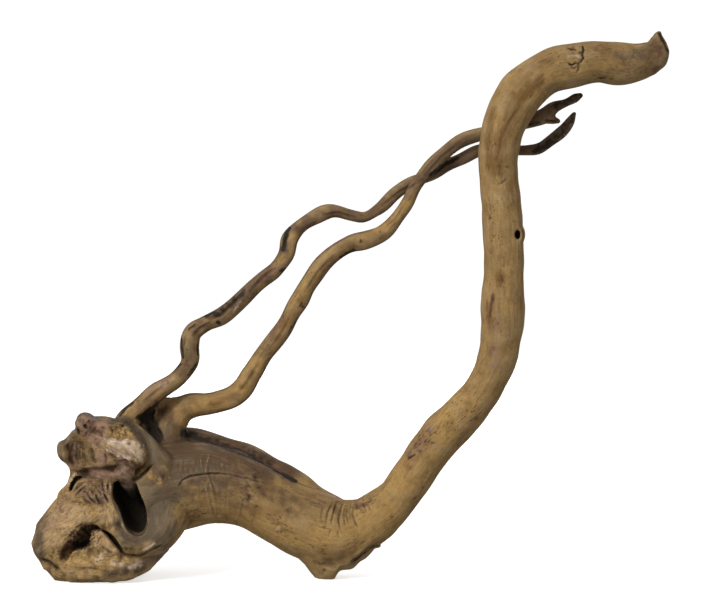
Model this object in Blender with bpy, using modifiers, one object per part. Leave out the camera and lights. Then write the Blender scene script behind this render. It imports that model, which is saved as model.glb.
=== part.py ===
"""Dry root: one piece of weathered wood, grown as a broken stump, a heavy arching limb and two branches.

It stands on the flat underside of its stump and on a stub under its elbow. +X runs from the stump to the
limb's far end, +Z is up, and -Y is the side that shows the stump's hollow. Sizes are in millimetres.
"""

import bmesh
import bpy
import numpy as np
from mathutils import Matrix

MM = 0.001

# How finely a strand is drawn: steps from knot to knot, round a quarter turn, and of its end balls.
STRAND_STEPS = 5
ROUND_STEPS = 4
BALL_STEPS = 3
WELD = 0.001

# Bare weathered wood: its colour, and how rough it is.
WOOD_COLOUR = (0.27, 0.185, 0.095, 1)
WOOD_ROUGHNESS = 0.72

# The mesh size of the skin that joins the strands, and the radius that softening takes back off a strand.
VOXEL = 1.4
SMOOTH_STEPS = 3
SMOOTH_FACTOR = 0.5
SKIN = 0.5
TRIANGLES = 11300

# The block below the floor that trims the underside flat.
GROUND_DEPTH = 30.0
GROUND_REACH = 700.0

# Relief: how far it stands out, and its longest and shortest wave, on sound wood and on the broken face.
# The broken face fades in over these x and y, and where a surface's normal turns to the front.
WAVES = 24
UNEVEN = 0.55
UNEVEN_LENGTHS = (45, 16)
RAGGED = 0.8
RAGGED_LENGTHS = (16, 7)
BROKEN_FROM = (-150, -166)
BROKEN_FACE = (-4, -20)
BROKEN_SLANT = (0, -0.5)

# Points drawn from corner to corner of an outline, and where a surface turns to the front enough to swell.
OUTLINE_STEPS = 5
SWELLING_SLANT = (0.1, -0.6)

# Every strand is a list of (x, y, z, radius) along its middle line.
MAIN_LIMB = [
    (-168, 3, 62, 30),
    (-150, 2, 63, 34),
    (-132, 1, 68, 33.4),
    (-110, 1, 70.4, 30.3),
    (-90, 0, 67.5, 27.5),
    (-70, -1, 59.5, 24.5),
    (-50, -2, 48.5, 24.5),
    (-30, -3, 39.5, 26),
    (-10, -4, 34.5, 25.5),
    (11, -6, 42.5, 18),
    (28.5, -8, 53.5, 14.8),
    (39.5, -10, 67.5, 15.2),
    (48.5, -12, 81, 14.8),
    (67.5, -16, 107.5, 15.8),
    (88.5, -20, 129.5, 14.6),
    (100.5, -22, 147, 13.5),
    (110, -24, 171, 14.2),
    (113.2, -25, 191, 15.6),
    (112.8, -25, 211, 15.6),
    (113.4, -25, 231, 14.6),
    (113.6, -24, 249, 15),
    (112.2, -22, 281, 14.5),
    (110, -20, 301, 13.8),
    (109.4, -18, 319, 14.2),
    (111.8, -17, 332.5, 15),
    (118.8, -15, 349.5, 16.4),
    (130.2, -12, 367.2, 16.4),
    (145.2, -9, 378.9, 15.6),
    (167.7, -5, 385, 16),
    (185, -2, 387, 15.2),
    (203, 1, 385.6, 15.4),
    (214, 3, 387, 13.8),
    (221, 4, 389, 12.4),
]
BACK_STRAND = [
    (-150, 26, 86, 16),
    (-128, 27, 92.3, 18),
    (-110, 26, 90.3, 17),
    (-90, 24, 85.3, 16.5),
    (-70, 20.5, 76.8, 16),
    (-50, 16, 66.5, 16),
    (-35, 10.5, 55.5, 16),
    (-20, 5, 46.5, 16),
    (-5, 0, 41.5, 15.5),
    (8, -4, 44, 15),
]
UPPER_BRANCH = [
    (-170, -6, 108, 12),
    (-168, -6, 117, 9),
    (-160, -5, 126.5, 7.2),
    (-146, -3, 139, 6.4),
    (-127.5, -2, 152.5, 6),
    (-120.5, -1, 161.5, 6),
    (-121, 0, 175.5, 6.6),
    (-119, 1, 184, 6.4),
    (-109.5, 2, 190.5, 5.8),
    (-96.5, 4, 196.5, 6.2),
    (-81.5, 6, 209.5, 5.7),
    (-66.5, 8, 223.5, 5.3),
    (-54.5, 9, 233, 5.4),
    (-48, 10, 243.5, 6),
    (-45.5, 11, 254.5, 6.4),
    (-39, 12, 262.5, 5.4),
    (-26.5, 14, 270.5, 4.8),
    (-13.5, 15, 275.5, 4.7),
    (0.5, 16, 272, 4),
    (10.5, 17, 270.5, 3.8),
    (20.5, 18, 276, 3.8),
    (33.5, 19, 288, 4),
    (46, 20, 296.2, 4.2),
    (60, 20, 301.7, 4.2),
    (72, 19, 309.2, 4),
    (85, 18, 314.7, 4),
    (97, 17, 320.7, 4),
    (112, 16, 322.7, 3.7),
    (124, 16, 321.2, 3.5),
    (133, 16, 321.2, 3.6),
    (141.5, 16, 322.2, 3.8),
    (151, 17, 328.2, 3.8),
    (161, 18, 336.7, 3.6),
    (167, 19, 345.2, 3.2),
    (168.4, 19, 348.2, 2.2),
]
LOWER_BRANCH = [
    (-140, 12, 88, 16),
    (-137, 12, 103, 13.5),
    (-134, 12, 116, 11),
    (-127, 12, 125.5, 9.4),
    (-118, 12, 129, 8.3),
    (-107.6, 11, 130.3, 7.6),
    (-98.6, 11, 131.8, 7.5),
    (-88.6, 10, 135, 8),
    (-80.6, 10, 142.3, 7.7),
    (-74.1, 9, 153.5, 7),
    (-63.6, 9, 169.5, 6.4),
    (-52.8, 8, 183.5, 6.4),
    (-45.4, 8, 197, 6.2),
    (-38.3, 8, 208.5, 6.8),
    (-32.8, 8, 219, 6.1),
    (-23.8, 8, 232, 6),
    (-12.6, 8, 243.8, 6),
    (-0.1, 8, 251, 5.9),
    (11.4, 8, 253.1, 5.8),
    (22.4, 8, 257.7, 5.6),
    (33.8, 8, 268.7, 5.2),
    (42.4, 8, 281.5, 4.9),
    (50.1, 8, 296.5, 4.8),
    (60, 8, 308.5, 4.9),
    (71, 8, 319.5, 4.8),
    (82, 8, 327.7, 4.6),
    (95, 7, 332.2, 4.5),
    (110, 7, 335.7, 4.4),
    (123, 8, 339.2, 4.4),
    (136, 9, 343.2, 4.4),
    (146, 10, 347.2, 4.2),
    (153, 11, 353.2, 3.6),
    (162, 12, 356.7, 3.2),
    (171, 13, 361.2, 3.2),
    (173, 13, 362.2, 2.2),
]
BUTTRESS_WEB = [(-152, 16, 100, 12), (-149, 15, 113, 9), (-141.5, 14, 126, 6.4)]
FORK_WEB = [
    (-163, 6, 112, 9),
    (-155, 8, 120, 7.5),
    (-147, 9, 129, 5.4),
    (-137, 10, 130, 5),
    (-127, 12, 127.5, 8),
]
BRANCH_SPUR = [(145, 10, 346.5, 3.4), (151.5, 10.5, 343.8, 2.4), (156, 11, 343, 1.6)]
KNOT_SWELLING = [(117.5, -24, 269, 6), (120, -26, 259, 9.8), (117.5, -25, 249, 6)]

# The thorn on the elbow's lower edge, and the wood that fills its bend.
ELBOW_SPUR = [(-2, -13, 14.5, 3.6), (9, -14, 20, 3), (16, -14, 25, 2.6), (21.8, -14, 25, 1.6)]
ELBOW_BEND = [(-32, -4, 44, 19), (-10, -5, 38, 21), (12, -6, 42, 19), (30, -8, 58, 15)]

# The ring of live wood that healed round the broken lobe, and the wood that the lobe rests on.
COLLAR = [
    (-178, -9, 113, 6),
    (-170, -10, 111.5, 6.8),
    (-162, -13, 109, 7.5),
    (-155, -19, 102, 8),
    (-148.5, -21, 95, 8.5),
    (-143, -20, 86, 11.5),
    (-141, -16, 74, 16),
]
LOBE_SEAT = [(-199.5, -18, 78.5, 8), (-190.5, -22, 79, 8.5), (-180.5, -24, 79.5, 9), (-172.5, -22, 80.5, 9)]

# The rotted root below it, its splintered top, and the lip that runs down from it and under the hollow.
LOWER_LOBE = [
    [(-221, -13, 27, 17), (-210, -22, 37, 18.5), (-198, -27, 44, 18), (-190, -27, 50, 15)],
    [(-208, -14, 60.5, 11), (-201, -25, 66, 10.5), (-193, -29, 67.5, 10), (-186.5, -29, 64, 10)],
    [(-216, -13, 12, 10.5), (-207, -26, 11, 10.5), (-188, -30, 11.5, 11), (-168, -30, 12.5, 11)],
    [(-168, -30, 12.5, 11), (-156, -24, 17.5, 10.5)],
]
HOLLOW_LIP = [
    (-182, -35, 65, 5),
    (-177, -37, 58.6, 5.6),
    (-175, -37, 51, 6.2),
    (-173, -36, 42, 7.2),
    (-167, -35, 33.6, 8.6),
    (-158.4, -34, 29.4, 9.4),
    (-148.6, -31, 33, 12),
    (-141, -26, 40.4, 15),
    (-138, -18, 50, 19),
]

# Folds of wood that run down the stump's back from the branches to the ground.
BACK_FOLDS = [
    [(-213, 16, 8, 12), (-212, 27, 34, 14), (-200, 31, 62, 12), (-190, 26, 88, 9), (-180, 17, 106, 9)],
    [(-198, 25, 6, 13), (-187, 33, 34, 13), (-183, 34, 60, 12.5), (-170, 29, 92, 11), (-160, 19, 112, 8)],
    [(-167, 24, 8, 12), (-153, 34, 34, 14), (-150, 34, 64, 14.5), (-141, 28, 90, 13), (-136, 18, 108, 10)],
]

GROWN = [MAIN_LIMB, BACK_STRAND, UPPER_BRANCH, LOWER_BRANCH, BRANCH_SPUR, BUTTRESS_WEB, FORK_WEB]
GROWN += [KNOT_SWELLING, ELBOW_SPUR, ELBOW_BEND, COLLAR, *LOWER_LOBE, LOBE_SEAT, HOLLOW_LIP, *BACK_FOLDS]

# Slabs: an outline seen from the front, as corners (x, z), and the rows that it is lofted through from front
# to back, as (y, scale about its middle, shift right, shift up).
BROKEN_LOBE = [
    (-204.8, 119.6),
    (-203, 123.8),
    (-199, 125.9),
    (-193.8, 124.6),
    (-189, 121.2),
    (-180, 119.6),
    (-169.4, 118),
    (-161, 113.2),
    (-154.6, 106),
    (-150.6, 97.6),
    (-152, 90.6),
    (-157.8, 85.4),
    (-167.6, 84.4),
    (-177.6, 86),
    (-187.6, 84.6),
    (-196.6, 84.8),
    (-206.4, 83.4),
    (-209.8, 87),
    (-215, 90.2),
    (-218, 95.4),
    (-217.6, 102.6),
    (-213.4, 104.8),
    (-211, 107.6),
    (-208.2, 112),
    (-205.2, 114.8),
]
LOBE_ROWS = [
    (-38, 0.84, 2, 0.5),
    (-36.5, 0.91, 1, 0.2),
    (-33, 0.97, 0.3, 0),
    (-28, 1, 0, 0),
    (-12, 1, 0, 0),
    (-4, 0.94, 0, -1),
    (2, 0.8, 0, -3),
]
FOOT = [
    (-46, 24),
    (-34.7, 10.4),
    (-29.7, 4.6),
    (-25.8, 0.6),
    (-22, -2.4),
    (-13.5, -2.4),
    (-10.4, 1.6),
    (-7.4, 4.8),
    (-3, 5.6),
    (1.8, 7),
    (4.8, 10.2),
    (7, 13),
    (12, 16),
    (19, 23.6),
    (28, 33),
    (32, 42),
    (20, 50),
    (0, 52),
    (-24, 50),
    (-42, 38),
]
FOOT_ROWS = [
    (-22, 0.6, 0, 1.4),
    (-19, 0.76, 0, 1),
    (-15, 0.89, 0, 0.4),
    (-10, 0.97, 0, 0),
    (-5, 1, 0, 0),
    (2, 1, 0, 0),
    (7, 0.96, 0, 0),
    (12, 0.86, 0, 0.6),
    (16, 0.7, 0, 1.2),
]
BROKEN_END = [
    (205, 396),
    (214, 399.4),
    (221, 400.8),
    (225.2, 404.8),
    (229.2, 409.4),
    (231.8, 410),
    (233.2, 406.4),
    (236, 402.3),
    (238.4, 396.5),
    (238.2, 391.6),
    (236.2, 386),
    (231.4, 381),
    (222, 377),
    (212, 376),
    (204, 382),
]
END_ROWS = [
    (-8, 0.72, -2, 1),
    (-6.5, 0.86, -1, 0.5),
    (-3, 0.96, 0, 0),
    (2, 1, 0, 0),
    (8, 0.98, 0, 0),
    (12, 0.9, -0.5, 0),
    (15, 0.74, -1.5, 0),
]
SLABS = [(BROKEN_LOBE, LOBE_ROWS), (FOOT, FOOT_ROWS), (BROKEN_END, END_ROWS)]

# Swells and dips of the stump's front: (x, z), (reach across, reach up), how far the wood stands out there.
SWELLS = [
    ((-200, 96.5), (8, 14), -8),
    ((-213, 97), (3.4, 9), 3.5),
    ((-206.5, 98.5), (2.2, 11), -2.5),
    ((-196, 121), (6, 5), 3),
    ((-188, 114.5), (4, 7), -4),
    ((-183, 94.5), (5, 5), 3),
    ((-180.5, 106.5), (7, 4), 1.5),
    ((-169.5, 114.5), (11, 4.5), -4.5),
    ((-168.5, 102.5), (12, 5), 2.2),
    ((-158.5, 95.5), (7, 6), 1.6),
    ((-152.5, 106.5), (4, 8), -3),
    ((-167.5, 87.5), (12, 3.5), -3),
    ((-196, 86.5), (9, 3), 2),
    ((-219, 38.5), (9, 16), -2),
    ((-200, 53), (8, 7), 1.2),
    ((-181.5, 51), (8, 9), 2.2),
    ((-206, 61), (6, 6), -1.5),
    ((-177.5, 44.5), (5, 5), 1.2),
    ((-197, 16.5), (16, 6), 1.5),
    ((-209, 16.5), (5, 5), -2),
    ((-161.5, 28.5), (12, 4), 1.5),
    ((-148, 30.5), (6, 4), 1.2),
]

# Hollows are lofted too, from in front of the wood inwards, and the slot behind the limb is strands.
DEEP_HOLLOW = [
    (-177.6, 69),
    (-176.4, 62.4),
    (-172.8, 54),
    (-170.6, 48),
    (-168.4, 43.6),
    (-165.4, 39.4),
    (-161.4, 36.6),
    (-157.4, 35.8),
    (-153.8, 37.4),
    (-151.8, 41.6),
    (-151.2, 47.6),
    (-151.8, 53.9),
    (-154, 60.5),
    (-156, 66.1),
    (-157.8, 71.8),
    (-162.5, 76.5),
    (-170, 77.5),
    (-176.4, 75),
]
ROTTEN_CAVITY = [
    (-219.3, 15.6),
    (-217, 23.5),
    (-212, 29.5),
    (-206, 34),
    (-202.2, 39.4),
    (-199, 43.4),
    (-193.8, 45),
    (-188.4, 44.4),
    (-184.4, 41.6),
    (-185.5, 39),
    (-190.8, 38),
    (-191.8, 33.2),
    (-193, 28.4),
    (-197, 25),
    (-203.4, 24),
    (-208.4, 21.4),
    (-211, 15.6),
    (-215.6, 12.6),
]
LOBE_GAP = [
    (-209.4, 68.6),
    (-208.2, 74),
    (-205.4, 78),
    (-201.6, 79.2),
    (-198.6, 78.6),
    (-200.4, 76.8),
    (-203, 75.2),
    (-205.2, 72),
    (-207.4, 67.6),
]
WIDE_CRACK = [
    (-185, 41.2),
    (-180.2, 39.6),
    (-175, 35.6),
    (-171, 30.4),
    (-167.6, 24.6),
    (-169.6, 22),
    (-174, 25.4),
    (-177.8, 30),
    (-181.6, 35.2),
]
BRANCH_POCKET = [
    (-161, 121.4),
    (-156, 115.6),
    (-150, 110.6),
    (-146, 105.6),
    (-141, 101.4),
    (-138.9, 103.4),
    (-139.8, 109),
    (-143, 115),
    (-146, 121),
    (-145.4, 126.6),
    (-143.6, 131.4),
    (-150, 128.4),
    (-156, 124.6),
]
KNOT_HOLE = [
    (122.8, 263.6),
    (125.4, 262),
    (126.2, 258.6),
    (125.2, 255.2),
    (123, 254),
    (121.2, 256),
    (120.6, 260),
]
HOLLOWS = [
    (DEEP_HOLLOW, [(-60, 1, 0, 0), (-36, 1, 0, 0), (-30, 0.98, 0, 0), (-14, 0.92, 0, 0), (0, 0.7, 0, 0)]),
    (ROTTEN_CAVITY, [(-60, 1, 0, 0), (-38, 1, 0, 0), (-31, 0.86, 1, 0), (-25, 0.6, 2, 0), (-22, 0.3, 2, 0)]),
    (LOBE_GAP, [(-60, 1, 0, 0), (-34, 1, 0, 0), (-24, 0.94, 0, 0), (-19, 0.8, 0, 0)]),
    (WIDE_CRACK, [(-60, 1.1, 0, 0), (-40, 1, 0, 0), (-32, 0.85, 0, 0), (-28, 0.5, 0, 0)]),
    (BRANCH_POCKET, [(-60, 1, 0, 0), (-12, 1, 0, 0), (-2, 0.9, 0, 0), (6, 0.6, -2, 0)]),
    (KNOT_HOLE, [(-60, 1, 0, 0), (-38, 1, 0, 0), (-30, 0.8, 0, 0), (-26, 0.5, 0, 0)]),
]
SLOTS = [
    [(-127, 11, 109, 4.2), (-119, 11, 107.2, 4), (-111, 10.5, 103.4, 2.4), (-104, 9, 101.6, 2)],
    [(-106, 9, 102, 2), (-98, 8.5, 99.4, 1.7), (-90, 8, 96.8, 1.5), (-82, 7.5, 93.4, 1.2)],
    [(-62, 5, 85, 1.2), (-54, 1.5, 80, 1.7), (-48, -1.5, 76.4, 2.3), (-43, -4, 74, 2.2), (-41, -5, 73, 1.4)],
]

# What the rot left standing: a tongue that hangs into the deep hollow, and a flap in the cavity's mouth.
TONGUE = [
    (-171, -20, 98, 13),
    (-169.6, -25, 91, 10.8),
    (-168, -27.6, 83, 8.2),
    (-166, -25, 75.5, 6.2),
    (-163.4, -19, 69, 5),
    (-161.4, -11, 62.5, 3.8),
]
LOOSE_FLAP = [
    (-191.6, 39),
    (-186.8, 40.2),
    (-183, 38.6),
    (-178.8, 33.6),
    (-174.8, 28.6),
    (-170.4, 23),
    (-169.6, 16),
    (-180, 14),
    (-190, 21),
    (-192.6, 28),
    (-191.8, 33.8),
]
FLAP_ROWS = [(-41.5, 0.78, 1, -1), (-40.4, 0.9, 0.5, 0), (-38, 0.97, 0, 0), (-34, 1, 0, 0), (-26, 1, 0, 0)]

# The stump's core at each height: (z, left x, right x, front y, back y).
STUMP_SECTIONS = [
    (-3, -222, -170, -28, 26),
    (3, -227.5, -158, -34, 34),
    (10, -233.5, -146, -37, 34),
    (19, -238.5, -137, -39, 37),
    (30, -238, -131, -38, 39),
    (40, -236, -128, -36, 40),
    (50, -229.5, -127, -34, 40),
    (60, -221, -128, -31, 39),
    (70, -214, -132, -26, 38),
    (78, -211.5, -136, -24, 36),
    (86, -213, -140, -25, 35),
    (94, -215, -143, -26, 33),
    (101, -214, -147, -26, 31),
    (108, -209, -152, -23, 28),
    (115, -203, -159, -18, 24),
    (120, -199, -178, -12, 15),
]
SECTION_POINTS = 48
SECTION_SQUARENESS = 0.86
ROOT_LOBES = 5
LOBE_DEPTH = 0.035


def collection(name):
    """A new collection in the scene."""
    made = bpy.data.collections.new(name)
    bpy.context.scene.collection.children.link(made)
    return made


def strand(points, skin=0.0):
    """A tube through the points, each as thick as its own radius and the skin, with a ball at both ends."""
    curve = bpy.data.curves.new("strand", "CURVE")
    curve.dimensions = "3D"
    curve.resolution_u = STRAND_STEPS
    curve.bevel_depth = MM
    curve.bevel_resolution = ROUND_STEPS
    curve.use_fill_caps = True
    spline = curve.splines.new("BEZIER")
    spline.radius_interpolation = "CARDINAL"
    spline.bezier_points.add(len(points) - 1)
    for knot, (x, y, z, radius) in zip(spline.bezier_points, points):
        knot.co = (x * MM, y * MM, z * MM)
        knot.handle_left_type = "AUTO"
        knot.handle_right_type = "AUTO"
        knot.radius = radius + skin
    guide = bpy.data.objects.new("strand", curve)
    bpy.context.scene.collection.objects.link(guide)
    graph = bpy.context.evaluated_depsgraph_get()
    mesh = bpy.data.meshes.new_from_object(guide.evaluated_get(graph))
    bpy.data.objects.remove(guide)
    shape = bmesh.new()
    shape.from_mesh(mesh)
    for x, y, z, radius in (points[0], points[-1]):
        place = Matrix.Translation((x * MM, y * MM, z * MM))
        bmesh.ops.create_icosphere(shape, subdivisions=BALL_STEPS, radius=(radius + skin) * MM, matrix=place)
    shape.to_mesh(mesh)
    shape.free()
    return mesh


def between_rings(name, rings):
    """A closed mesh through rings of points in millimetres, all with as many points, capped at both ends."""
    shape = bmesh.new()
    rows = [[shape.verts.new(point) for point in ring] for ring in np.asarray(rings) * MM]
    for lower, upper in zip(rows, rows[1:]):
        for i in range(len(lower)):
            j = (i + 1) % len(lower)
            shape.faces.new((lower[i], lower[j], upper[j], upper[i]))
    shape.faces.new(reversed(rows[0]))
    shape.faces.new(rows[-1])
    mesh = bpy.data.meshes.new(name)
    shape.to_mesh(mesh)
    shape.free()
    return mesh


def stump_core():
    """The stump as a loft: each section is a rounded box in plan, with shallow root lobes around it."""
    turn = np.linspace(0, 2 * np.pi, SECTION_POINTS, endpoint=False)
    across = np.sign(np.cos(turn)) * np.abs(np.cos(turn)) ** SECTION_SQUARENESS
    deep = np.sign(np.sin(turn)) * np.abs(np.sin(turn)) ** SECTION_SQUARENESS
    lobes = 1 - LOBE_DEPTH * (1 - np.cos(ROOT_LOBES * turn)) * np.abs(np.sin(turn))
    z, left, right, front, back = np.array(STUMP_SECTIONS, float).T[:, :, None]
    x = (left + right) / 2 + (right - left) / 2 * across * lobes
    y = (front + back) / 2 + (back - front) / 2 * deep * lobes
    return between_rings("stump_core", np.stack([x, y, np.broadcast_to(z, x.shape)], axis=-1))


def closed_curve(corners):
    """Points round a smooth closed curve through the corners.

    From one corner to the next they follow a cubic, whose slope at a corner is half the line from the corner
    before it to the corner after it.
    """
    start = np.asarray(corners, float)[:, None]
    rise = (np.roll(start, -1, 0) - np.roll(start, 1, 0)) / 2
    end, fall = np.roll(start, -1, 0), np.roll(rise, -1, 0)
    t = np.linspace(0, 1, OUTLINE_STEPS, endpoint=False)[None, :, None]
    curve = (1 + 2 * t) * (1 - t) ** 2 * start + t * (1 - t) ** 2 * rise
    curve = curve + t**2 * (3 - 2 * t) * end + t**2 * (t - 1) * fall
    return curve.reshape(-1, 2)


def loft(corners, rows):
    """The outline at each row's y, scaled about its middle and shifted, joined from front to back."""
    curve = closed_curve(corners)
    middle = curve.mean(axis=0)
    y, scale, right, up = np.array(rows, float).T[:, :, None]
    x = middle[0] + (curve[:, 0] - middle[0]) * scale + right
    z = middle[1] + (curve[:, 1] - middle[1]) * scale + up
    return between_rings("loft", np.stack([x, np.broadcast_to(y, x.shape), z], axis=-1))


def joined(name, meshes):
    """One mesh that holds all of the closed meshes, their caps welded and their faces outward."""
    shape = bmesh.new()
    for mesh in meshes:
        shape.from_mesh(mesh)
        bpy.data.meshes.remove(mesh)
    bmesh.ops.remove_doubles(shape, verts=shape.verts, dist=WELD * MM)
    bmesh.ops.recalc_face_normals(shape, faces=shape.faces)
    mesh = bpy.data.meshes.new(name)
    shape.to_mesh(mesh)
    shape.free()
    return mesh


def gathered(name, meshes, into):
    """One object of all of the closed meshes."""
    made = bpy.data.objects.new(name, joined(name, meshes))
    into.objects.link(made)
    return made


def fused(body, label):
    """Adds a voxel Remesh, which makes one skin of everything that overlaps."""
    remesh = body.modifiers.new(label, "REMESH")
    remesh.mode = "VOXEL"
    remesh.voxel_size = VOXEL * MM
    remesh.use_smooth_shade = True


def carved(body, label, cutter):
    """Cuts the cutter out of the body."""
    cutter.hide_render = True
    cutter.display_type = "WIRE"
    cut = body.modifiers.new(label, "BOOLEAN")
    cut.operation = "DIFFERENCE"
    cut.solver = "EXACT"
    cut.object = cutter


def ground(into):
    """The block under the floor that trims the stump and the foot to flat spots."""
    bpy.ops.mesh.primitive_cube_add(size=1, location=(0, 0, -GROUND_DEPTH / 2 * MM))
    block = bpy.context.object
    block.name = "ground_cutter"
    block.scale = (GROUND_REACH * MM, GROUND_REACH * MM, GROUND_DEPTH * MM)
    for holder in block.users_collection:
        holder.objects.unlink(block)
    into.objects.link(block)
    return block


def wood():
    """Bare weathered wood."""
    material = bpy.data.materials.new("weathered_wood")
    material.use_nodes = True
    shader = material.node_tree.nodes["Principled BSDF"]
    shader.inputs["Base Color"].default_value = WOOD_COLOUR
    shader.inputs["Roughness"].default_value = WOOD_ROUGHNESS
    shader.inputs["Metallic"].default_value = 0.0
    return material


def waves(points, longest, shortest, seed):
    """Smooth noise from -1 to 1: a sum of sine waves with random directions, lengths and starts."""
    draw = np.random.default_rng(seed)
    directions = draw.normal(size=(WAVES, 3))
    directions /= np.linalg.norm(directions, axis=1)[:, None]
    lengths = draw.uniform(shortest, longest, WAVES)
    starts = draw.uniform(0, 2 * np.pi, WAVES)
    phase = points @ (directions * (2 * np.pi / lengths)[:, None]).T + starts
    return np.sin(phase).sum(axis=1) / np.sqrt(WAVES)


def eased(value, low, high):
    """0 at low, 1 at high, and a smooth step between."""
    t = np.clip((value - low) / (high - low), 0, 1)
    return t * t * (3 - 2 * t)


def settled(body):
    """Applies the modifiers so far."""
    graph = bpy.context.evaluated_depsgraph_get()
    mesh = bpy.data.meshes.new_from_object(body.evaluated_get(graph))
    body.modifiers.clear()
    body.data = mesh
    return mesh


def points_of(mesh):
    """The mesh's points and normals, in millimetres and unit vectors."""
    points = np.empty(len(mesh.vertices) * 3)
    normals = np.empty_like(points)
    mesh.vertices.foreach_get("co", points)
    mesh.vertices.foreach_get("normal", normals)
    return points.reshape(-1, 3) / MM, normals.reshape(-1, 3)


def moved(mesh, points):
    """Puts the points, in millimetres, back into the mesh."""
    mesh.vertices.foreach_set("co", (points * MM).ravel())
    mesh.update()


def swollen(body):
    """Moves the front of the stump by the swells, each of them height x bell curve of the distance."""
    mesh = settled(body)
    points, normals = points_of(mesh)
    height = np.zeros(len(points))
    for (x, z), (reach_x, reach_z), tall in SWELLS:
        away = ((points[:, 0] - x) / reach_x) ** 2 + ((points[:, 2] - z) / reach_z) ** 2
        height += tall * np.exp(-away)
    points[:, 1] -= height * eased(normals[:, 1], *SWELLING_SLANT)
    moved(mesh, points)


def weathered(body):
    """Moves every point along its normal: sound wood is a little uneven, and the broken face is ragged."""
    mesh = settled(body)
    points, normals = points_of(mesh)
    broken = eased(points[:, 0], *BROKEN_FROM) * eased(points[:, 1], *BROKEN_FACE)
    broken *= eased(normals[:, 1], *BROKEN_SLANT)
    uneven = UNEVEN * waves(points, *UNEVEN_LENGTHS, seed=1)
    ragged = RAGGED * waves(points, *RAGGED_LENGTHS, seed=2)
    moved(mesh, points + normals * (uneven * (1 - broken) + ragged * broken)[:, None])


def triangle_count(body):
    """How many triangles the object has with its modifiers so far."""
    evaluated = body.evaluated_get(bpy.context.evaluated_depsgraph_get())
    mesh = evaluated.to_mesh()
    mesh.calc_loop_triangles()
    count = len(mesh.loop_triangles)
    evaluated.to_mesh_clear()
    return count


def main():
    for old in list(bpy.data.objects):
        bpy.data.objects.remove(old)
    parts = collection("dry_root")
    cutters = collection("cutters")

    slabs = [loft(*slab) for slab in SLABS]
    strands = [strand(points, SKIN) for points in GROWN]
    root = gathered("root", [stump_core(), *slabs, *strands], parts)
    fused(root, "grown_together")
    swollen(root)

    rotted = [loft(*hollow) for hollow in HOLLOWS] + [strand(points) for points in SLOTS]
    hollows = gathered("hollow_cutter", rotted, cutters)
    fused(hollows, "one_cutter")
    carved(root, "rotted_away", hollows)
    root.data = joined("root", [settled(root).copy(), strand(TONGUE), loft(LOOSE_FLAP, FLAP_ROWS)])
    fused(root, "weathered")
    soften = root.modifiers.new("soften", "SMOOTH")
    soften.factor = SMOOTH_FACTOR
    soften.iterations = SMOOTH_STEPS
    weathered(root)
    thin = root.modifiers.new("fewer_faces", "DECIMATE")
    thin.ratio = TRIANGLES / triangle_count(root)
    carved(root, "flat_feet", ground(cutters))
    root.data.materials.append(wood())


main()
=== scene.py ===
# %% [markdown]
# # A dry root
#
# The real object is one piece of dead wood: a broken, rotted stump, a heavy limb that dips, rises and
# arches over, and two thin branches that lean across behind it. Nothing is joined on, so one mesh stands
# for it all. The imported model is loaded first. It fixes where the root stands and how large it is, and the
# new mesh takes the place of its plain solid.

import math

import bmesh
import bpy
import numpy as np
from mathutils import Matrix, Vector


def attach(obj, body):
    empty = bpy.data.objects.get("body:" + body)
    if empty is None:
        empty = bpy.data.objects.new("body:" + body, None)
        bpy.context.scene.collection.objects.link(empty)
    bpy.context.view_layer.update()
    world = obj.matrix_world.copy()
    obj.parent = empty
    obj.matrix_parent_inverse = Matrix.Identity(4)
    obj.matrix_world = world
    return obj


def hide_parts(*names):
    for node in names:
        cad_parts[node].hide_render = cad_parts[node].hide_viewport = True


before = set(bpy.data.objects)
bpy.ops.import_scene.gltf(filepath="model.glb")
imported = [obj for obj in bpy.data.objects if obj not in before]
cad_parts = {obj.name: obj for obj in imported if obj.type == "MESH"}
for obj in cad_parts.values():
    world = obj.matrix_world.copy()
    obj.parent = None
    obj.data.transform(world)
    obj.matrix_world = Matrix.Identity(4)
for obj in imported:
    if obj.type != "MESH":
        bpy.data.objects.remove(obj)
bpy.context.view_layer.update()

# %% [markdown]
# ## Camera
#
# The photograph looks at the root's front almost level, from far enough away that near and far parts keep
# their sizes. A long lens at 2.4 m does the same. A shorter lens would swell the stump's front. The lens
# comes from the width that the photograph shows at the root: its pixels times the size that one covers
# there.

# %% Camera
MM = 0.001
SENSOR = 36
VIEW_DISTANCE = 2.4
VIEW_TILT = math.radians(3)
PHOTO_PIXELS = 701
PIXEL_SIZE = 0.75
VIEW_WIDTH = PHOTO_PIXELS * PIXEL_SIZE * MM
LOOK_AT = Vector((0, 0, 0.204))

lens = bpy.data.cameras.new("photo_camera")
lens.sensor_width = SENSOR
lens.lens = SENSOR * VIEW_DISTANCE / VIEW_WIDTH
camera = bpy.data.objects.new("photo_camera", lens)
bpy.context.scene.collection.objects.link(camera)
camera.location = LOOK_AT + VIEW_DISTANCE * Vector((0, -math.cos(VIEW_TILT), math.sin(VIEW_TILT)))
camera.rotation_euler = (math.pi / 2 - VIEW_TILT, 0, 0)
bpy.context.scene.camera = camera
print("lens", round(lens.lens, 1), "mm")

# %% [markdown]
# ## Floor and light
#
# The ground is a wide white bowl: a flat round floor whose edge curves up into a wall on every side, so
# that it looks plain from wherever the root is seen. It is a profile turned about the middle. It glows a
# little, to stay white, and it lets the even light of the sky through. The main light is a soft panel in
# front, above and to the left, where the photograph's wood is brightest. A weaker one from behind lights
# the far side.

# %% Floor
MIDDLE_RADIUS = 0.1
FLOOR_RADIUS = 3.4
WALL_BEND = 1.0
WALL_TOP = 5.0
BEND_STEPS = 14
BOWL_SIDES = 72
FLOOR_GREY = 0.9
FLOOR_ROUGHNESS = 0.9
FLOOR_GLOW = 0.61


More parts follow.
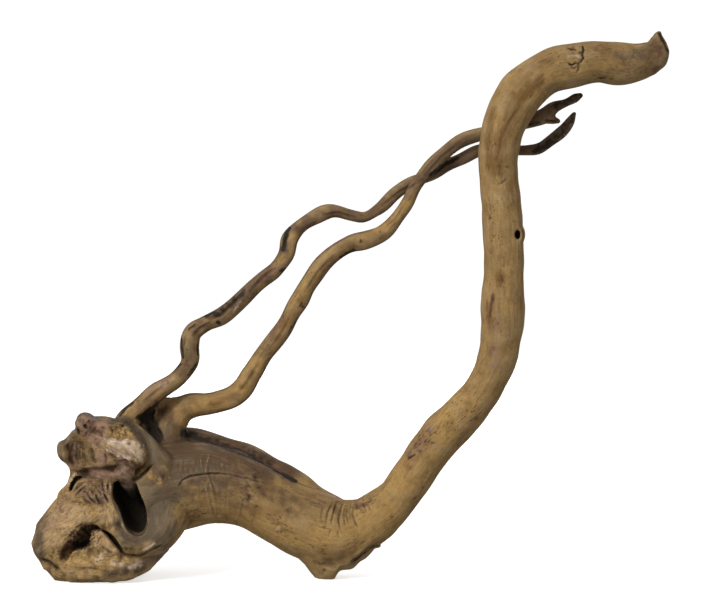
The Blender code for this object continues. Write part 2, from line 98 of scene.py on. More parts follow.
def white_floor():
    """An even, dull white that glows a little."""
    made = bpy.data.materials.new("floor_white")
    made.use_nodes = True
    inputs = made.node_tree.nodes["Principled BSDF"].inputs
    inputs["Base Color"].default_value = (FLOOR_GREY, FLOOR_GREY, FLOOR_GREY, 1)
    inputs["Roughness"].default_value = FLOOR_ROUGHNESS
    inputs["Emission Color"].default_value = (1, 1, 1, 1)
    inputs["Emission Strength"].default_value = FLOOR_GLOW
    return made


def mesh_object(name, points, faces):
    """A new object of that name in the scene, from points in metres and faces as lists of point numbers."""
    mesh = bpy.data.meshes.new(name)
    mesh.from_pydata(points, [], faces)
    mesh.update()
    made = bpy.data.objects.new(name, mesh)
    bpy.context.scene.collection.objects.link(made)
    return made


def grid_faces(rows, columns):
    """The quads of a grid that closes on itself: each point with the next in its row and in the next row."""
    here = np.arange(rows * columns).reshape(rows, columns)
    beside = np.roll(here, -1, axis=1)
    return np.stack([here[:-1], beside[:-1], beside[1:], here[1:]], axis=-1).reshape(-1, 4)


def bowl():
    """A grid of profile x angle: a small ring, a flat run, a quarter circle and a wall, turned all round."""
    bend = np.linspace(0, np.pi / 2, BEND_STEPS)
    angle = -np.linspace(0, 2 * np.pi, BOWL_SIDES, endpoint=False)
    curved = FLOOR_RADIUS + WALL_BEND * np.sin(bend)
    radius = np.concatenate([[MIDDLE_RADIUS], curved, [FLOOR_RADIUS + WALL_BEND]])
    height = np.concatenate([[0], WALL_BEND * (1 - np.cos(bend)), [WALL_TOP]])
    upright = np.broadcast_to(height[:, None], (len(height), BOWL_SIDES))
    return np.stack([np.outer(radius, np.cos(angle)), np.outer(radius, np.sin(angle)), upright], axis=-1)


sides = bowl()
middle_face = list(range(BOWL_SIDES))[::-1]
floor = mesh_object("floor", sides.reshape(-1, 3), grid_faces(*sides.shape[:2]).tolist() + [middle_face])
floor.data.polygons.foreach_set("use_smooth", np.ones(len(floor.data.polygons), bool))
floor.data.materials.append(white_floor())
floor.visible_diffuse = False
floor.visible_glossy = False
floor.visible_shadow = False
print("floor points:", len(floor.data.vertices))

# %% Light
SKY_ABOVE = 0.47
SKY_BELOW = 0.27
LIGHT_AIM = Vector((0, 0, 0.2))
LIGHTS = [
    ("main_light", Vector((-1.3, -1.8, 1.4)), 1.1, 43),
    ("far_light", Vector((0.5, 2.2, 0.7)), 1.2, 16),
]


def soft_panel(name, place, size, watts):
    """A square light panel that faces the root and doesn't show in the picture."""
    made = bpy.data.lights.new(name, "AREA")
    made.size = size
    made.energy = watts
    panel = bpy.data.objects.new(name, made)
    panel.location = place
    panel.rotation_euler = (LIGHT_AIM - place).to_track_quat("-Z", "Y").to_euler()
    panel.visible_camera = False
    bpy.context.scene.collection.objects.link(panel)


def even_sky():
    """A white sky whose strength rises evenly from straight below to straight above."""
    sky = bpy.data.worlds.new("even_light")
    sky.use_nodes = True
    nodes, links = sky.node_tree.nodes, sky.node_tree.links
    direction = nodes.new("ShaderNodeTexCoord")
    split = nodes.new("ShaderNodeSeparateXYZ")
    ranger = nodes.new("ShaderNodeMapRange")
    for name, number in zip(("From Min", "From Max", "To Min", "To Max"), (-1, 1, SKY_BELOW, SKY_ABOVE)):
        ranger.inputs[name].default_value = number
    links.new(direction.outputs["Generated"], split.inputs[0])
    links.new(split.outputs["Z"], ranger.inputs["Value"])
    nodes["Background"].inputs["Color"].default_value = (1, 1, 1, 1)
    links.new(ranger.outputs["Result"], nodes["Background"].inputs["Strength"])
    return sky


bpy.context.scene.world = even_sky()
for panel in LIGHTS:
    soft_panel(*panel)
bpy.context.scene.view_settings.view_transform = "Standard"
print("sky light", SKY_BELOW, "to", SKY_ABOVE)

# %% [markdown]
# ## The shape as strands
#
# Wood grows in strands, so every form is a strand first: a list of points (x, y, z, radius) in millimetres
# along its middle. The frame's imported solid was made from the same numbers. Carving the root from a block
# would need far more cuts, and a sculpt by hand could not be rerun, while strands keep each bend editable.

# %% Strands of the limb and the branches
MAIN_LIMB = [
    (-168, 3, 62, 30), (-150, 2, 63, 34), (-132, 1, 68, 33.4), (-110, 1, 70.4, 30.3), (-90, 0, 67.5, 27.5),
    (-70, -1, 59.5, 24.5), (-50, -2, 48.5, 24.5), (-30, -3, 39.5, 26), (-10, -4, 34.5, 25.5),
    (11, -6, 42.5, 18), (28.5, -8, 53.5, 14.8), (39.5, -10, 67.5, 15.2), (48.5, -12, 81, 14.8),
    (67.5, -16, 107.5, 15.8), (88.5, -20, 129.5, 14.6), (100.5, -22, 147, 13.5), (110, -24, 171, 14.2),
    (113.2, -25, 191, 15.6), (112.8, -25, 211, 15.6), (113.4, -25, 231, 14.6), (113.6, -24, 249, 15),
    (112.2, -22, 281, 14.5), (110, -20, 301, 13.8), (109.4, -18, 319, 14.2), (111.8, -17, 332.5, 15),
    (118.8, -15, 349.5, 16.4), (130.2, -12, 367.2, 16.4), (145.2, -9, 378.9, 15.6), (167.7, -5, 385, 16),
    (185, -2, 387, 15.2), (203, 1, 385.6, 15.4), (214, 3, 387, 13.8), (221, 4, 389, 12.4),
]
BACK_STRAND = [
    (-150, 26, 86, 16), (-128, 27, 92.3, 18), (-110, 26, 90.3, 17), (-90, 24, 85.3, 16.5),
    (-70, 20.5, 76.8, 16), (-50, 16, 66.5, 16), (-35, 10.5, 55.5, 16), (-20, 5, 46.5, 16),
    (-5, 0, 41.5, 15.5), (8, -4, 44, 15),
]
UPPER_BRANCH = [
    (-170, -6, 108, 12), (-168, -6, 117, 9), (-160, -5, 126.5, 7.2), (-146, -3, 139, 6.4),
    (-127.5, -2, 152.5, 6), (-120.5, -1, 161.5, 6), (-121, 0, 175.5, 6.6), (-119, 1, 184, 6.4),
    (-109.5, 2, 190.5, 5.8), (-96.5, 4, 196.5, 6.2), (-81.5, 6, 209.5, 5.7), (-66.5, 8, 223.5, 5.3),
    (-54.5, 9, 233, 5.4), (-48, 10, 243.5, 6), (-45.5, 11, 254.5, 6.4), (-39, 12, 262.5, 5.4),
    (-26.5, 14, 270.5, 4.8), (-13.5, 15, 275.5, 4.7), (0.5, 16, 272, 4), (10.5, 17, 270.5, 3.8),
    (20.5, 18, 276, 3.8), (33.5, 19, 288, 4), (46, 20, 296.2, 4.2), (60, 20, 301.7, 4.2),
    (72, 19, 309.2, 4), (85, 18, 314.7, 4), (97, 17, 320.7, 4), (112, 16, 322.7, 3.7),
    (124, 16, 321.2, 3.5), (133, 16, 321.2, 3.6), (141.5, 16, 322.2, 3.8), (151, 17, 328.2, 3.8),
    (161, 18, 336.7, 3.6), (167, 19, 345.2, 3.2), (168.4, 19, 348.2, 2.2),
]
LOWER_BRANCH = [
    (-140, 12, 88, 16), (-137, 12, 103, 13.5), (-134, 12, 116, 11), (-127, 12, 125.5, 9.4),
    (-118, 12, 129, 8.3), (-107.6, 11, 130.3, 7.6), (-98.6, 11, 131.8, 7.5), (-88.6, 10, 135, 8),
    (-80.6, 10, 142.3, 7.7), (-74.1, 9, 153.5, 7), (-63.6, 9, 169.5, 6.4), (-52.8, 8, 183.5, 6.4),
    (-45.4, 8, 197, 6.2), (-38.3, 8, 208.5, 6.8), (-32.8, 8, 219, 6.1), (-23.8, 8, 232, 6),
    (-12.6, 8, 243.8, 6), (-0.1, 8, 251, 5.9), (11.4, 8, 253.1, 5.8), (22.4, 8, 257.7, 5.6),
    (33.8, 8, 268.7, 5.2), (42.4, 8, 281.5, 4.9), (50.1, 8, 296.5, 4.8), (60, 8, 308.5, 4.9),
    (71, 8, 319.5, 4.8), (82, 8, 327.7, 4.6), (95, 7, 332.2, 4.5), (110, 7, 335.7, 4.4),
    (123, 8, 339.2, 4.4), (136, 9, 343.2, 4.4), (146, 10, 347.2, 4.2), (153, 11, 353.2, 3.6),
    (162, 12, 356.7, 3.2), (171, 13, 361.2, 3.2), (173, 13, 362.2, 2.2),
]
BUTTRESS_WEB = [(-152, 16, 100, 12), (-149, 15, 113, 9), (-141.5, 14, 126, 6.4)]
BRANCH_SPUR = [(145, 10, 346.5, 3.4), (151.5, 10.5, 343.8, 2.4), (156, 11, 343, 1.6)]
KNOT_SWELLING = [(117.5, -24, 269, 6), (120, -26, 259, 9.8), (117.5, -25, 249, 6)]
print("knots on the heavy limb:", len(MAIN_LIMB))

# %% Strands of the fork, the elbow and the stump
FORK_WEB = [
    (-163, 6, 112, 9), (-155, 8, 120, 7.5), (-147, 9, 129, 5.4), (-137, 10, 130, 5), (-127, 12, 127.5, 8),
]
ELBOW_SPUR = [(-2, -13, 14.5, 3.6), (9, -14, 20, 3), (16, -14, 25, 2.6), (21.8, -14, 25, 1.6)]
ELBOW_BEND = [(-32, -4, 44, 19), (-10, -5, 38, 21), (12, -6, 42, 19), (30, -8, 58, 15)]
COLLAR = [
    (-178, -9, 113, 6), (-170, -10, 111.5, 6.8), (-162, -13, 109, 7.5), (-155, -19, 102, 8),
    (-148.5, -21, 95, 8.5), (-143, -20, 86, 11.5), (-141, -16, 74, 16),
]
LOWER_LOBE = [
    [(-221, -13, 27, 17), (-210, -22, 37, 18.5), (-198, -27, 44, 18), (-190, -27, 50, 15)],
    [(-208, -14, 60.5, 11), (-201, -25, 66, 10.5), (-193, -29, 67.5, 10), (-186.5, -29, 64, 10)],
    [(-216, -13, 12, 10.5), (-207, -26, 11, 10.5), (-188, -30, 11.5, 11), (-168, -30, 12.5, 11)],
    [(-168, -30, 12.5, 11), (-156, -24, 17.5, 10.5)],
]
HOLLOW_LIP = [
    (-182, -35, 65, 5), (-177, -37, 58.6, 5.6), (-175, -37, 51, 6.2), (-173, -36, 42, 7.2),
    (-167, -35, 33.6, 8.6), (-158.4, -34, 29.4, 9.4), (-148.6, -31, 33, 12), (-141, -26, 40.4, 15),
    (-138, -18, 50, 19),
]
BACK_FOLDS = [
    [(-213, 16, 8, 12), (-212, 27, 34, 14), (-200, 31, 62, 12), (-190, 26, 88, 9), (-180, 17, 106, 9)],
    [(-198, 25, 6, 13), (-187, 33, 34, 13), (-183, 34, 60, 12.5), (-170, 29, 92, 11), (-160, 19, 112, 8)],
    [(-167, 24, 8, 12), (-153, 34, 34, 14), (-150, 34, 64, 14.5), (-141, 28, 90, 13), (-136, 18, 108, 10)],
]
LOBE_SEAT = [(-199.5, -18, 78.5, 8), (-190.5, -22, 79, 8.5), (-180.5, -24, 79.5, 9), (-172.5, -22, 80.5, 9)]
GROWN = [MAIN_LIMB, BACK_STRAND, UPPER_BRANCH, LOWER_BRANCH, BRANCH_SPUR, BUTTRESS_WEB, FORK_WEB]
GROWN += [KNOT_SWELLING, ELBOW_SPUR, ELBOW_BEND, COLLAR, *LOWER_LOBE, LOBE_SEAT, HOLLOW_LIP, *BACK_FOLDS]
print("strands:", len(GROWN))

# %% [markdown]
# ## Slabs
#
# Three forms are slabs with an uneven edge, too angular for strands: the stump's broken upper lobe, the
# foot under the elbow and the broken end of the heavy limb. The edge is drawn as it is seen from the front,
# as corners that a smooth closed curve passes through, and a loft gives it depth: the same outline again
# and again towards the back, smaller where the slab is rounded off.

# %% Outlines and slabs
OUTLINE_STEPS = 5
BROKEN_LOBE = [
    (-204.8, 119.6), (-203, 123.8), (-199, 125.9), (-193.8, 124.6), (-189, 121.2), (-180, 119.6),
    (-169.4, 118), (-161, 113.2), (-154.6, 106), (-150.6, 97.6), (-152, 90.6), (-157.8, 85.4),
    (-167.6, 84.4), (-177.6, 86), (-187.6, 84.6), (-196.6, 84.8), (-206.4, 83.4), (-209.8, 87),
    (-215, 90.2), (-218, 95.4), (-217.6, 102.6), (-213.4, 104.8), (-211, 107.6), (-208.2, 112),
    (-205.2, 114.8),
]
LOBE_ROWS = [
    (-38, 0.84, 2, 0.5), (-36.5, 0.91, 1, 0.2), (-33, 0.97, 0.3, 0), (-28, 1, 0, 0), (-12, 1, 0, 0),
    (-4, 0.94, 0, -1), (2, 0.8, 0, -3),
]
FOOT = [
    (-46, 24), (-34.7, 10.4), (-29.7, 4.6), (-25.8, 0.6), (-22, -2.4), (-13.5, -2.4), (-10.4, 1.6),
    (-7.4, 4.8), (-3, 5.6), (1.8, 7), (4.8, 10.2), (7, 13), (12, 16), (19, 23.6), (28, 33), (32, 42),
    (20, 50), (0, 52), (-24, 50), (-42, 38),
]
FOOT_ROWS = [
    (-22, 0.6, 0, 1.4), (-19, 0.76, 0, 1), (-15, 0.89, 0, 0.4), (-10, 0.97, 0, 0), (-5, 1, 0, 0),
    (2, 1, 0, 0), (7, 0.96, 0, 0), (12, 0.86, 0, 0.6), (16, 0.7, 0, 1.2),
]
BROKEN_END = [
    (205, 396), (214, 399.4), (221, 400.8), (225.2, 404.8), (229.2, 409.4), (231.8, 410), (233.2, 406.4),
    (236, 402.3), (238.4, 396.5), (238.2, 391.6), (236.2, 386), (231.4, 381), (222, 377), (212, 376),
    (204, 382),
]
END_ROWS = [
    (-8, 0.72, -2, 1), (-6.5, 0.86, -1, 0.5), (-3, 0.96, 0, 0), (2, 1, 0, 0), (8, 0.98, 0, 0),
    (12, 0.9, -0.5, 0), (15, 0.74, -1.5, 0),
]


def closed_curve(corners):
    """Points round a smooth closed curve through the corners.

    From one corner to the next they follow a cubic, whose slope at a corner is half the line from the corner
    before it to the corner after it.
    """
    start = np.asarray(corners, float)[:, None]
    rise = (np.roll(start, -1, 0) - np.roll(start, 1, 0)) / 2
    end, fall = np.roll(start, -1, 0), np.roll(rise, -1, 0)
    t = np.linspace(0, 1, OUTLINE_STEPS, endpoint=False)[None, :, None]
    curve = (1 + 2 * t) * (1 - t) ** 2 * start + t * (1 - t) ** 2 * rise
    curve = curve + t**2 * (3 - 2 * t) * end + t**2 * (t - 1) * fall
    return curve.reshape(-1, 2)


def loft(corners, rows):
    """A grid of depth x outline: at each row's y the outline is scaled about its middle and shifted."""
    curve = closed_curve(corners)
    middle = curve.mean(axis=0)
    y, scale, right, up = np.array(rows, float).T[:, :, None]
    x = middle[0] + (curve[:, 0] - middle[0]) * scale + right
    z = middle[1] + (curve[:, 1] - middle[1]) * scale + up
    return np.stack([x, np.broadcast_to(y, x.shape), z], axis=-1)


SLABS = [(BROKEN_LOBE, LOBE_ROWS), (FOOT, FOOT_ROWS), (BROKEN_END, END_ROWS)]
print("slabs:", len(SLABS))

# %% [markdown]
# ## Rot
#
# Rot has eaten a deep upright hollow into the stump, a ragged cavity low on its left with a curved crack
# beside it, a gap under the broken lobe, a pocket between the two branches and a knot hole high on the
# limb. Each is the outline of its mouth, lofted inwards and narrowing as it goes. The slots behind the
# limb's edge are strands. All of it is cut away.

# %% Hollows
DEEP_HOLLOW = [
    (-177.6, 69), (-176.4, 62.4), (-172.8, 54), (-170.6, 48), (-168.4, 43.6), (-165.4, 39.4),
    (-161.4, 36.6), (-157.4, 35.8), (-153.8, 37.4), (-151.8, 41.6), (-151.2, 47.6), (-151.8, 53.9),
    (-154, 60.5), (-156, 66.1), (-157.8, 71.8), (-162.5, 76.5), (-170, 77.5), (-176.4, 75),
]
ROTTEN_CAVITY = [
    (-219.3, 15.6), (-217, 23.5), (-212, 29.5), (-206, 34), (-202.2, 39.4), (-199, 43.4), (-193.8, 45),
    (-188.4, 44.4), (-184.4, 41.6), (-185.5, 39), (-190.8, 38), (-191.8, 33.2), (-193, 28.4), (-197, 25),
    (-203.4, 24), (-208.4, 21.4), (-211, 15.6), (-215.6, 12.6),
]
LOBE_GAP = [
    (-209.4, 68.6), (-208.2, 74), (-205.4, 78), (-201.6, 79.2), (-198.6, 78.6), (-200.4, 76.8),
    (-203, 75.2), (-205.2, 72), (-207.4, 67.6),
]
WIDE_CRACK = [
    (-185, 41.2), (-180.2, 39.6), (-175, 35.6), (-171, 30.4), (-167.6, 24.6), (-169.6, 22), (-174, 25.4),
    (-177.8, 30), (-181.6, 35.2),
]
BRANCH_POCKET = [
    (-161, 121.4), (-156, 115.6), (-150, 110.6), (-146, 105.6), (-141, 101.4), (-138.9, 103.4),
    (-139.8, 109), (-143, 115), (-146, 121), (-145.4, 126.6), (-143.6, 131.4), (-150, 128.4), (-156, 124.6),
]
KNOT_HOLE = [
    (122.8, 263.6), (125.4, 262), (126.2, 258.6), (125.2, 255.2), (123, 254), (121.2, 256), (120.6, 260),
]
HOLLOWS = [
    (DEEP_HOLLOW, [(-60, 1, 0, 0), (-36, 1, 0, 0), (-30, 0.98, 0, 0), (-14, 0.92, 0, 0), (0, 0.7, 0, 0)]),
    (ROTTEN_CAVITY, [(-60, 1, 0, 0), (-38, 1, 0, 0), (-31, 0.86, 1, 0), (-25, 0.6, 2, 0), (-22, 0.3, 2, 0)]),
    (LOBE_GAP, [(-60, 1, 0, 0), (-34, 1, 0, 0), (-24, 0.94, 0, 0), (-19, 0.8, 0, 0)]),
    (WIDE_CRACK, [(-60, 1.1, 0, 0), (-40, 1, 0, 0), (-32, 0.85, 0, 0), (-28, 0.5, 0, 0)]),
    (BRANCH_POCKET, [(-60, 1, 0, 0), (-12, 1, 0, 0), (-2, 0.9, 0, 0), (6, 0.6, -2, 0)]),
    (KNOT_HOLE, [(-60, 1, 0, 0), (-38, 1, 0, 0), (-30, 0.8, 0, 0), (-26, 0.5, 0, 0)]),
]
SLOTS = [
    [(-127, 11, 109, 4.2), (-119, 11, 107.2, 4), (-111, 10.5, 103.4, 2.4), (-104, 9, 101.6, 2)],
    [(-106, 9, 102, 2), (-98, 8.5, 99.4, 1.7), (-90, 8, 96.8, 1.5), (-82, 7.5, 93.4, 1.2)],
    [(-62, 5, 85, 1.2), (-54, 1.5, 80, 1.7), (-48, -1.5, 76.4, 2.3), (-43, -4, 74, 2.2), (-41, -5, 73, 1.4)],
]
print("hollows:", len(HOLLOWS), "slots:", len(SLOTS))

# %% [markdown]
# ## What stands in the hollows
#
# Harder wood has outlasted the rot: a smooth tongue hangs from the lobe into the deep hollow, and a loose
# flap stands in the cavity's mouth. They are fused in after the rot is cut away.

# %% Left standing
TONGUE = [
    (-171, -20, 98, 13), (-169.6, -25, 91, 10.8), (-168, -27.6, 83, 8.2), (-166, -25, 75.5, 6.2),
    (-163.4, -19, 69, 5), (-161.4, -11, 62.5, 3.8),
]
LOOSE_FLAP = [
    (-191.6, 39), (-186.8, 40.2), (-183, 38.6), (-178.8, 33.6), (-174.8, 28.6), (-170.4, 23), (-169.6, 16),
    (-180, 14), (-190, 21), (-192.6, 28), (-191.8, 33.8),
]
FLAP_ROWS = [(-41.5, 0.78, 1, -1), (-40.4, 0.9, 0.5, 0), (-38, 0.97, 0, 0), (-34, 1, 0, 0), (-26, 1, 0, 0)]
print("left standing: the tongue and the flap")

# %% [markdown]
# ## From a strand to a tube
#
# A tube is a function of two numbers, how far along and how far round. Its middle is a smooth curve through
# the knots, and each ring stands square to it. Blender's own curve bevel makes tubes too, but here the same
# path is used again later, to lay the wood's grain along each limb.

# %% Paths and tubes
PATH_STEP = 1.6
DRAWN_STEPS = 12
ROUND_POINTS = 28
CAP_RINGS = 6
SKIN = 0.5
CAP_OPENING = 0.02


def unit(vectors):
    """Vectors scaled to length one."""
    return vectors / np.linalg.norm(vectors, axis=-1, keepdims=True)


def path_through(knots):
    """Points at even steps on a smooth curve through the knots, and each one's distance from the start.

    The slope at a knot is the mean of the slopes before and after it, each weighted by the other's length.
    Between knots every number follows the cubic with those slopes at its ends.
    """
    knots = np.asarray(knots, float)
    gap = np.linalg.norm(np.diff(knots[:, :3], axis=0), axis=1)[:, None]
    slope = np.diff(knots, axis=0) / gap
    middle = (slope[:-1] * gap[1:] + slope[1:] * gap[:-1]) / (gap[:-1] + gap[1:])
    slopes = np.vstack([slope[:1], middle, slope[-1:]])
    t = np.linspace(0, 1, DRAWN_STEPS, endpoint=False)[None, :, None]
    start, end, rise, fall = (v[:, None, :] for v in (knots[:-1], knots[1:], slopes[:-1], slopes[1:]))
    span = gap[:, None, :]
    curve = (1 + 2 * t) * (1 - t) ** 2 * start + t * (1 - t) ** 2 * span * rise
    curve = curve + t**2 * (3 - 2 * t) * end + t**2 * (t - 1) * span * fall
    curve = np.vstack([curve.reshape(-1, knots.shape[1]), knots[-1:]])
    steps = np.linalg.norm(np.diff(curve[:, :3], axis=0), axis=1)
    along = np.concatenate([[0], np.cumsum(steps)])
    even = np.linspace(0, along[-1], max(int(along[-1] / PATH_STEP), 2) + 1)
    return np.column_stack([np.interp(even, along, column) for column in curve.T]), even


def compass(path):
    """For each path point, three unit vectors: onwards, sideways and up, square to each other."""
    onwards = unit(np.gradient(path[:, :3], axis=0))
    least = np.eye(3)[np.abs(onwards).mean(axis=0).argmin()]
    sideways = unit(least - onwards * (onwards @ least)[:, None])
    return onwards, sideways, np.cross(onwards, sideways)


def tube(knots, skin=0.0):
    """A closed tube: ring point = middle + radius x (cos x sideways + sin x up), with half balls as ends.

    Each half ball's last ring is a small one, and closed_grids puts a flat face over it.
    """
    path, _ = path_through(knots)
    onwards, sideways, up = compass(path)
    bend = np.linspace(np.pi / 2 - CAP_OPENING, np.pi / 2 / CAP_RINGS, CAP_RINGS)
    first, last = path[0, 3] + skin, path[-1, 3] + skin
    before = path[0, :3] - first * np.sin(bend)[:, None] * onwards[0]
    after = path[-1, :3] + last * np.sin(bend[::-1])[:, None] * onwards[-1]
    middle = np.vstack([before, path[:, :3], after])
    radius = np.concatenate([first * np.cos(bend), path[:, 3] + skin, last * np.cos(bend[::-1])])
    side, rise = (
        np.vstack([np.repeat(axis[:1], CAP_RINGS, 0), axis, np.repeat(axis[-1:], CAP_RINGS, 0)])
        for axis in (sideways, up)
    )
    angle = np.linspace(0, 2 * np.pi, ROUND_POINTS, endpoint=False)[None, :, None]
    rings = np.cos(angle) * side[:, None] + np.sin(angle) * rise[:, None]
    return middle[:, None] + radius[:, None, None] * rings


path, along = path_through(MAIN_LIMB)
print("the heavy limb is", round(along[-1]), "mm long on", len(path), "path points")

# %% [markdown]
# ## The stump's core
#
# Behind the lobes the stump is one broad mass. It is a loft: a rounded outline at each height, with shallow
# root lobes around it, joined from floor to top.

# %% The stump's core
STUMP_SECTIONS = [
    (-3, -222, -170, -28, 26), (3, -227.5, -158, -34, 34), (10, -233.5, -146, -37, 34),
    (19, -238.5, -137, -39, 37), (30, -238, -131, -38, 39), (40, -236, -128, -36, 40),
    (50, -229.5, -127, -34, 40), (60, -221, -128, -31, 39), (70, -214, -132, -26, 38),
    (78, -211.5, -136, -24, 36), (86, -213, -140, -25, 35), (94, -215, -143, -26, 33),
    (101, -214, -147, -26, 31), (108, -209, -152, -23, 28), (115, -203, -159, -18, 24),
    (120, -199, -178, -12, 15),
]
SECTION_POINTS = 48
SQUARENESS = 0.86
ROOT_LOBES = 5
LOBE_DEPTH = 0.035


def stump_core():
    """A grid of height x angle: powers of cosine and sine, times the outline's half width and depth."""
    z, left, right, front, back = np.array(STUMP_SECTIONS, float).T[:, :, None]
    angle = np.linspace(0, 2 * np.pi, SECTION_POINTS, endpoint=False)
    across = np.sign(np.cos(angle)) * np.abs(np.cos(angle)) ** SQUARENESS
    deep = np.sign(np.sin(angle)) * np.abs(np.sin(angle)) ** SQUARENESS
    lobes = 1 - LOBE_DEPTH * (1 - np.cos(ROOT_LOBES * angle)) * np.abs(np.sin(angle))
    x = (left + right) / 2 + (right - left) / 2 * across * lobes
    y = (front + back) / 2 + (back - front) / 2 * deep * lobes
    return np.stack([x, y, np.broadcast_to(z, x.shape)], axis=-1)


print("core grid:", stump_core().shape[:2])

# %% [markdown]
# ## Growing together
#
# The strands and the slabs overlap, and a voxel remesh makes one skin of everything that does, as live wood
# heals over what it touches. A Boolean union would leave a sharp crease where each pair meets. The skin is
# then pushed in and out by listed swells, the rot is cut out, what stands in it is added, and a
# second, finer remesh gives even faces to carve on.

# %% One skin
COARSE = 1.2
FINE = 0.75
SMOOTH_STEPS = 2
SMOOTH_SHARE = 0.5


def closed_grids(name, grids):
    """One object of several closed grids, each with a flat face over both of its ends."""
    points, faces, start = [], [], 0
    for grid in grids:
        rows, columns = grid.shape[:2]
        points.append(grid.reshape(-1, 3))
        first = np.arange(columns) + start
        faces += (grid_faces(rows, columns) + start).tolist()
        faces += [first[::-1].tolist(), (first + (rows - 1) * columns).tolist()]
        start += rows * columns
    return mesh_object(name, np.vstack(points) * MM, faces)


def remesh(body, size):
    """A voxel Remesh of that size in millimetres."""
    skin = body.modifiers.new("skin", "REMESH")
    skin.mode = "VOXEL"
    skin.voxel_size = size * MM


def settle(body):
    """Turns what the modifiers make into the object's own mesh."""
    graph = bpy.context.evaluated_depsgraph_get()
    mesh = bpy.data.meshes.new_from_object(body.evaluated_get(graph))
    body.modifiers.clear()
    old = body.data
    body.data = mesh
    bpy.data.meshes.remove(old)
    return len(mesh.vertices)


def read_points(body):
    """The body's points and normals, in millimetres and unit vectors."""
    points = np.empty(len(body.data.vertices) * 3)
    normals = np.empty_like(points)
    body.data.vertices.foreach_get("co", points)
    body.data.vertices.foreach_get("normal", normals)
    return points.reshape(-1, 3) / MM, normals.reshape(-1, 3)


def write_points(body, points):
    """Puts the points, in millimetres, back into the body."""
    body.data.vertices.foreach_set("co", (points * MM).ravel())
    body.data.update()


slabs = [loft(*slab) for slab in SLABS]
root = closed_grids("root_wood", [stump_core(), *slabs, *(tube(knots, SKIN) for knots in GROWN)])
remesh(root, COARSE)
print("points on the first skin:", settle(root))

# %% [markdown]
# ## Swells
#
# A swell is a soft bump or hollow on the front: how far it reaches sideways and up, and how far the wood
# stands out there. Together they give the broken lobe its knob, its hanging left edge and its sloping face.
# A sculptor would do this with a grab brush. A list of swells can be read and changed.

# %% Swells
SWELL_FACING = (0.1, -0.6)
SWELLS = [
    ((-200, 96.5), (8, 14), -8),
    ((-213, 97), (3.4, 9), 3.5),
    ((-206.5, 98.5), (2.2, 11), -2.5),
    ((-196, 121), (6, 5), 3),
    ((-188, 114.5), (4, 7), -4),
    ((-183, 94.5), (5, 5), 3),
    ((-180.5, 106.5), (7, 4), 1.5),
    ((-169.5, 114.5), (11, 4.5), -4.5),
    ((-168.5, 102.5), (12, 5), 2.2),
    ((-158.5, 95.5), (7, 6), 1.6),
    ((-152.5, 106.5), (4, 8), -3),
    ((-167.5, 87.5), (12, 3.5), -3),
    ((-196, 86.5), (9, 3), 2),
    ((-219, 38.5), (9, 16), -2),
    ((-200, 53), (8, 7), 1.2),
    ((-181.5, 51), (8, 9), 2.2),
    ((-206, 61), (6, 6), -1.5),
    ((-177.5, 44.5), (5, 5), 1.2),
    ((-197, 16.5), (16, 6), 1.5),
    ((-209, 16.5), (5, 5), -2),
    ((-161.5, 28.5), (12, 4), 1.5),
    ((-148, 30.5), (6, 4), 1.2),
]


def eased(value, low, high):
    """0 at low, 1 at high, and a smooth step between."""
    t = np.clip((value - low) / (high - low), 0, 1)
    return t * t * (3 - 2 * t)


def swollen(points, swells):
    """How far the wood stands out at each point: height x bell curve of distance / reach, both ways."""
    height = np.zeros(len(points))
    for (x, z), (reach_x, reach_z), tall in swells:
        away = ((points[:, 0] - x) / reach_x) ** 2 + ((points[:, 2] - z) / reach_z) ** 2
        height += tall * np.exp(-away)
    return height


points, normals = read_points(root)
front = eased(normals[:, 1], *SWELL_FACING)
points[:, 1] -= swollen(points, SWELLS) * front
write_points(root, points)
print("swells:", len(SWELLS))

# %% Rot cut out, tongue and flap added
rot = closed_grids("rot", [*(loft(*hollow) for hollow in HOLLOWS), *(tube(knots) for knots in SLOTS)])
remesh(rot, FINE)
settle(rot)
cutter = bmesh.new()
cutter.from_mesh(rot.data)
bmesh.ops.recalc_face_normals(cutter, faces=cutter.faces)
cutter.to_mesh(rot.data)
cutter.free()
cut = root.modifiers.new("rotted_away", "BOOLEAN")
cut.operation = "DIFFERENCE"
cut.solver = "EXACT"
cut.object = rot
settle(root)
bpy.data.objects.remove(rot)

standing = closed_grids("standing", [tube(TONGUE), loft(LOOSE_FLAP, FLAP_ROWS)])
together = bmesh.new()
together.from_mesh(root.data)
together.from_mesh(standing.data)
together.to_mesh(root.data)
together.free()
bpy.data.objects.remove(standing)
remesh(root, FINE)
soften = root.modifiers.new("soften", "SMOOTH")
soften.factor = SMOOTH_SHARE
soften.iterations = SMOOTH_STEPS
print("points on the fine skin:", settle(root))

# %% [markdown]
# ## The lie of the grain
#
# Everything fine on wood follows its grain: ridges, fibres, cracks and stains run along each limb. So each
# point looks up the strand that it belongs to, the one whose surface it is nearest. It then keeps three
# numbers: how far along that strand it lies, and its offset from the strand's middle, sideways and up.
# Noise that is stretched along the first number runs with the grain and closes round the limb without a
# seam.

# %% Grain
LOBE_GRAIN = [
    [(-198, -18, 106, 12), (-182, -24, 100, 15), (-160, -26, 92, 12)],
    [(-206, -16, 104, 9), (-211, -18, 94, 9), (-210, -18, 84, 8)],
]
GUIDES = [MAIN_LIMB, BACK_STRAND, UPPER_BRANCH, LOWER_BRANCH, BUTTRESS_WEB]
GUIDES += [*LOBE_GRAIN, COLLAR, *LOWER_LOBE, HOLLOW_LIP, *BACK_FOLDS]
GUIDE_GAP = 400.0
BLOCK = 16000


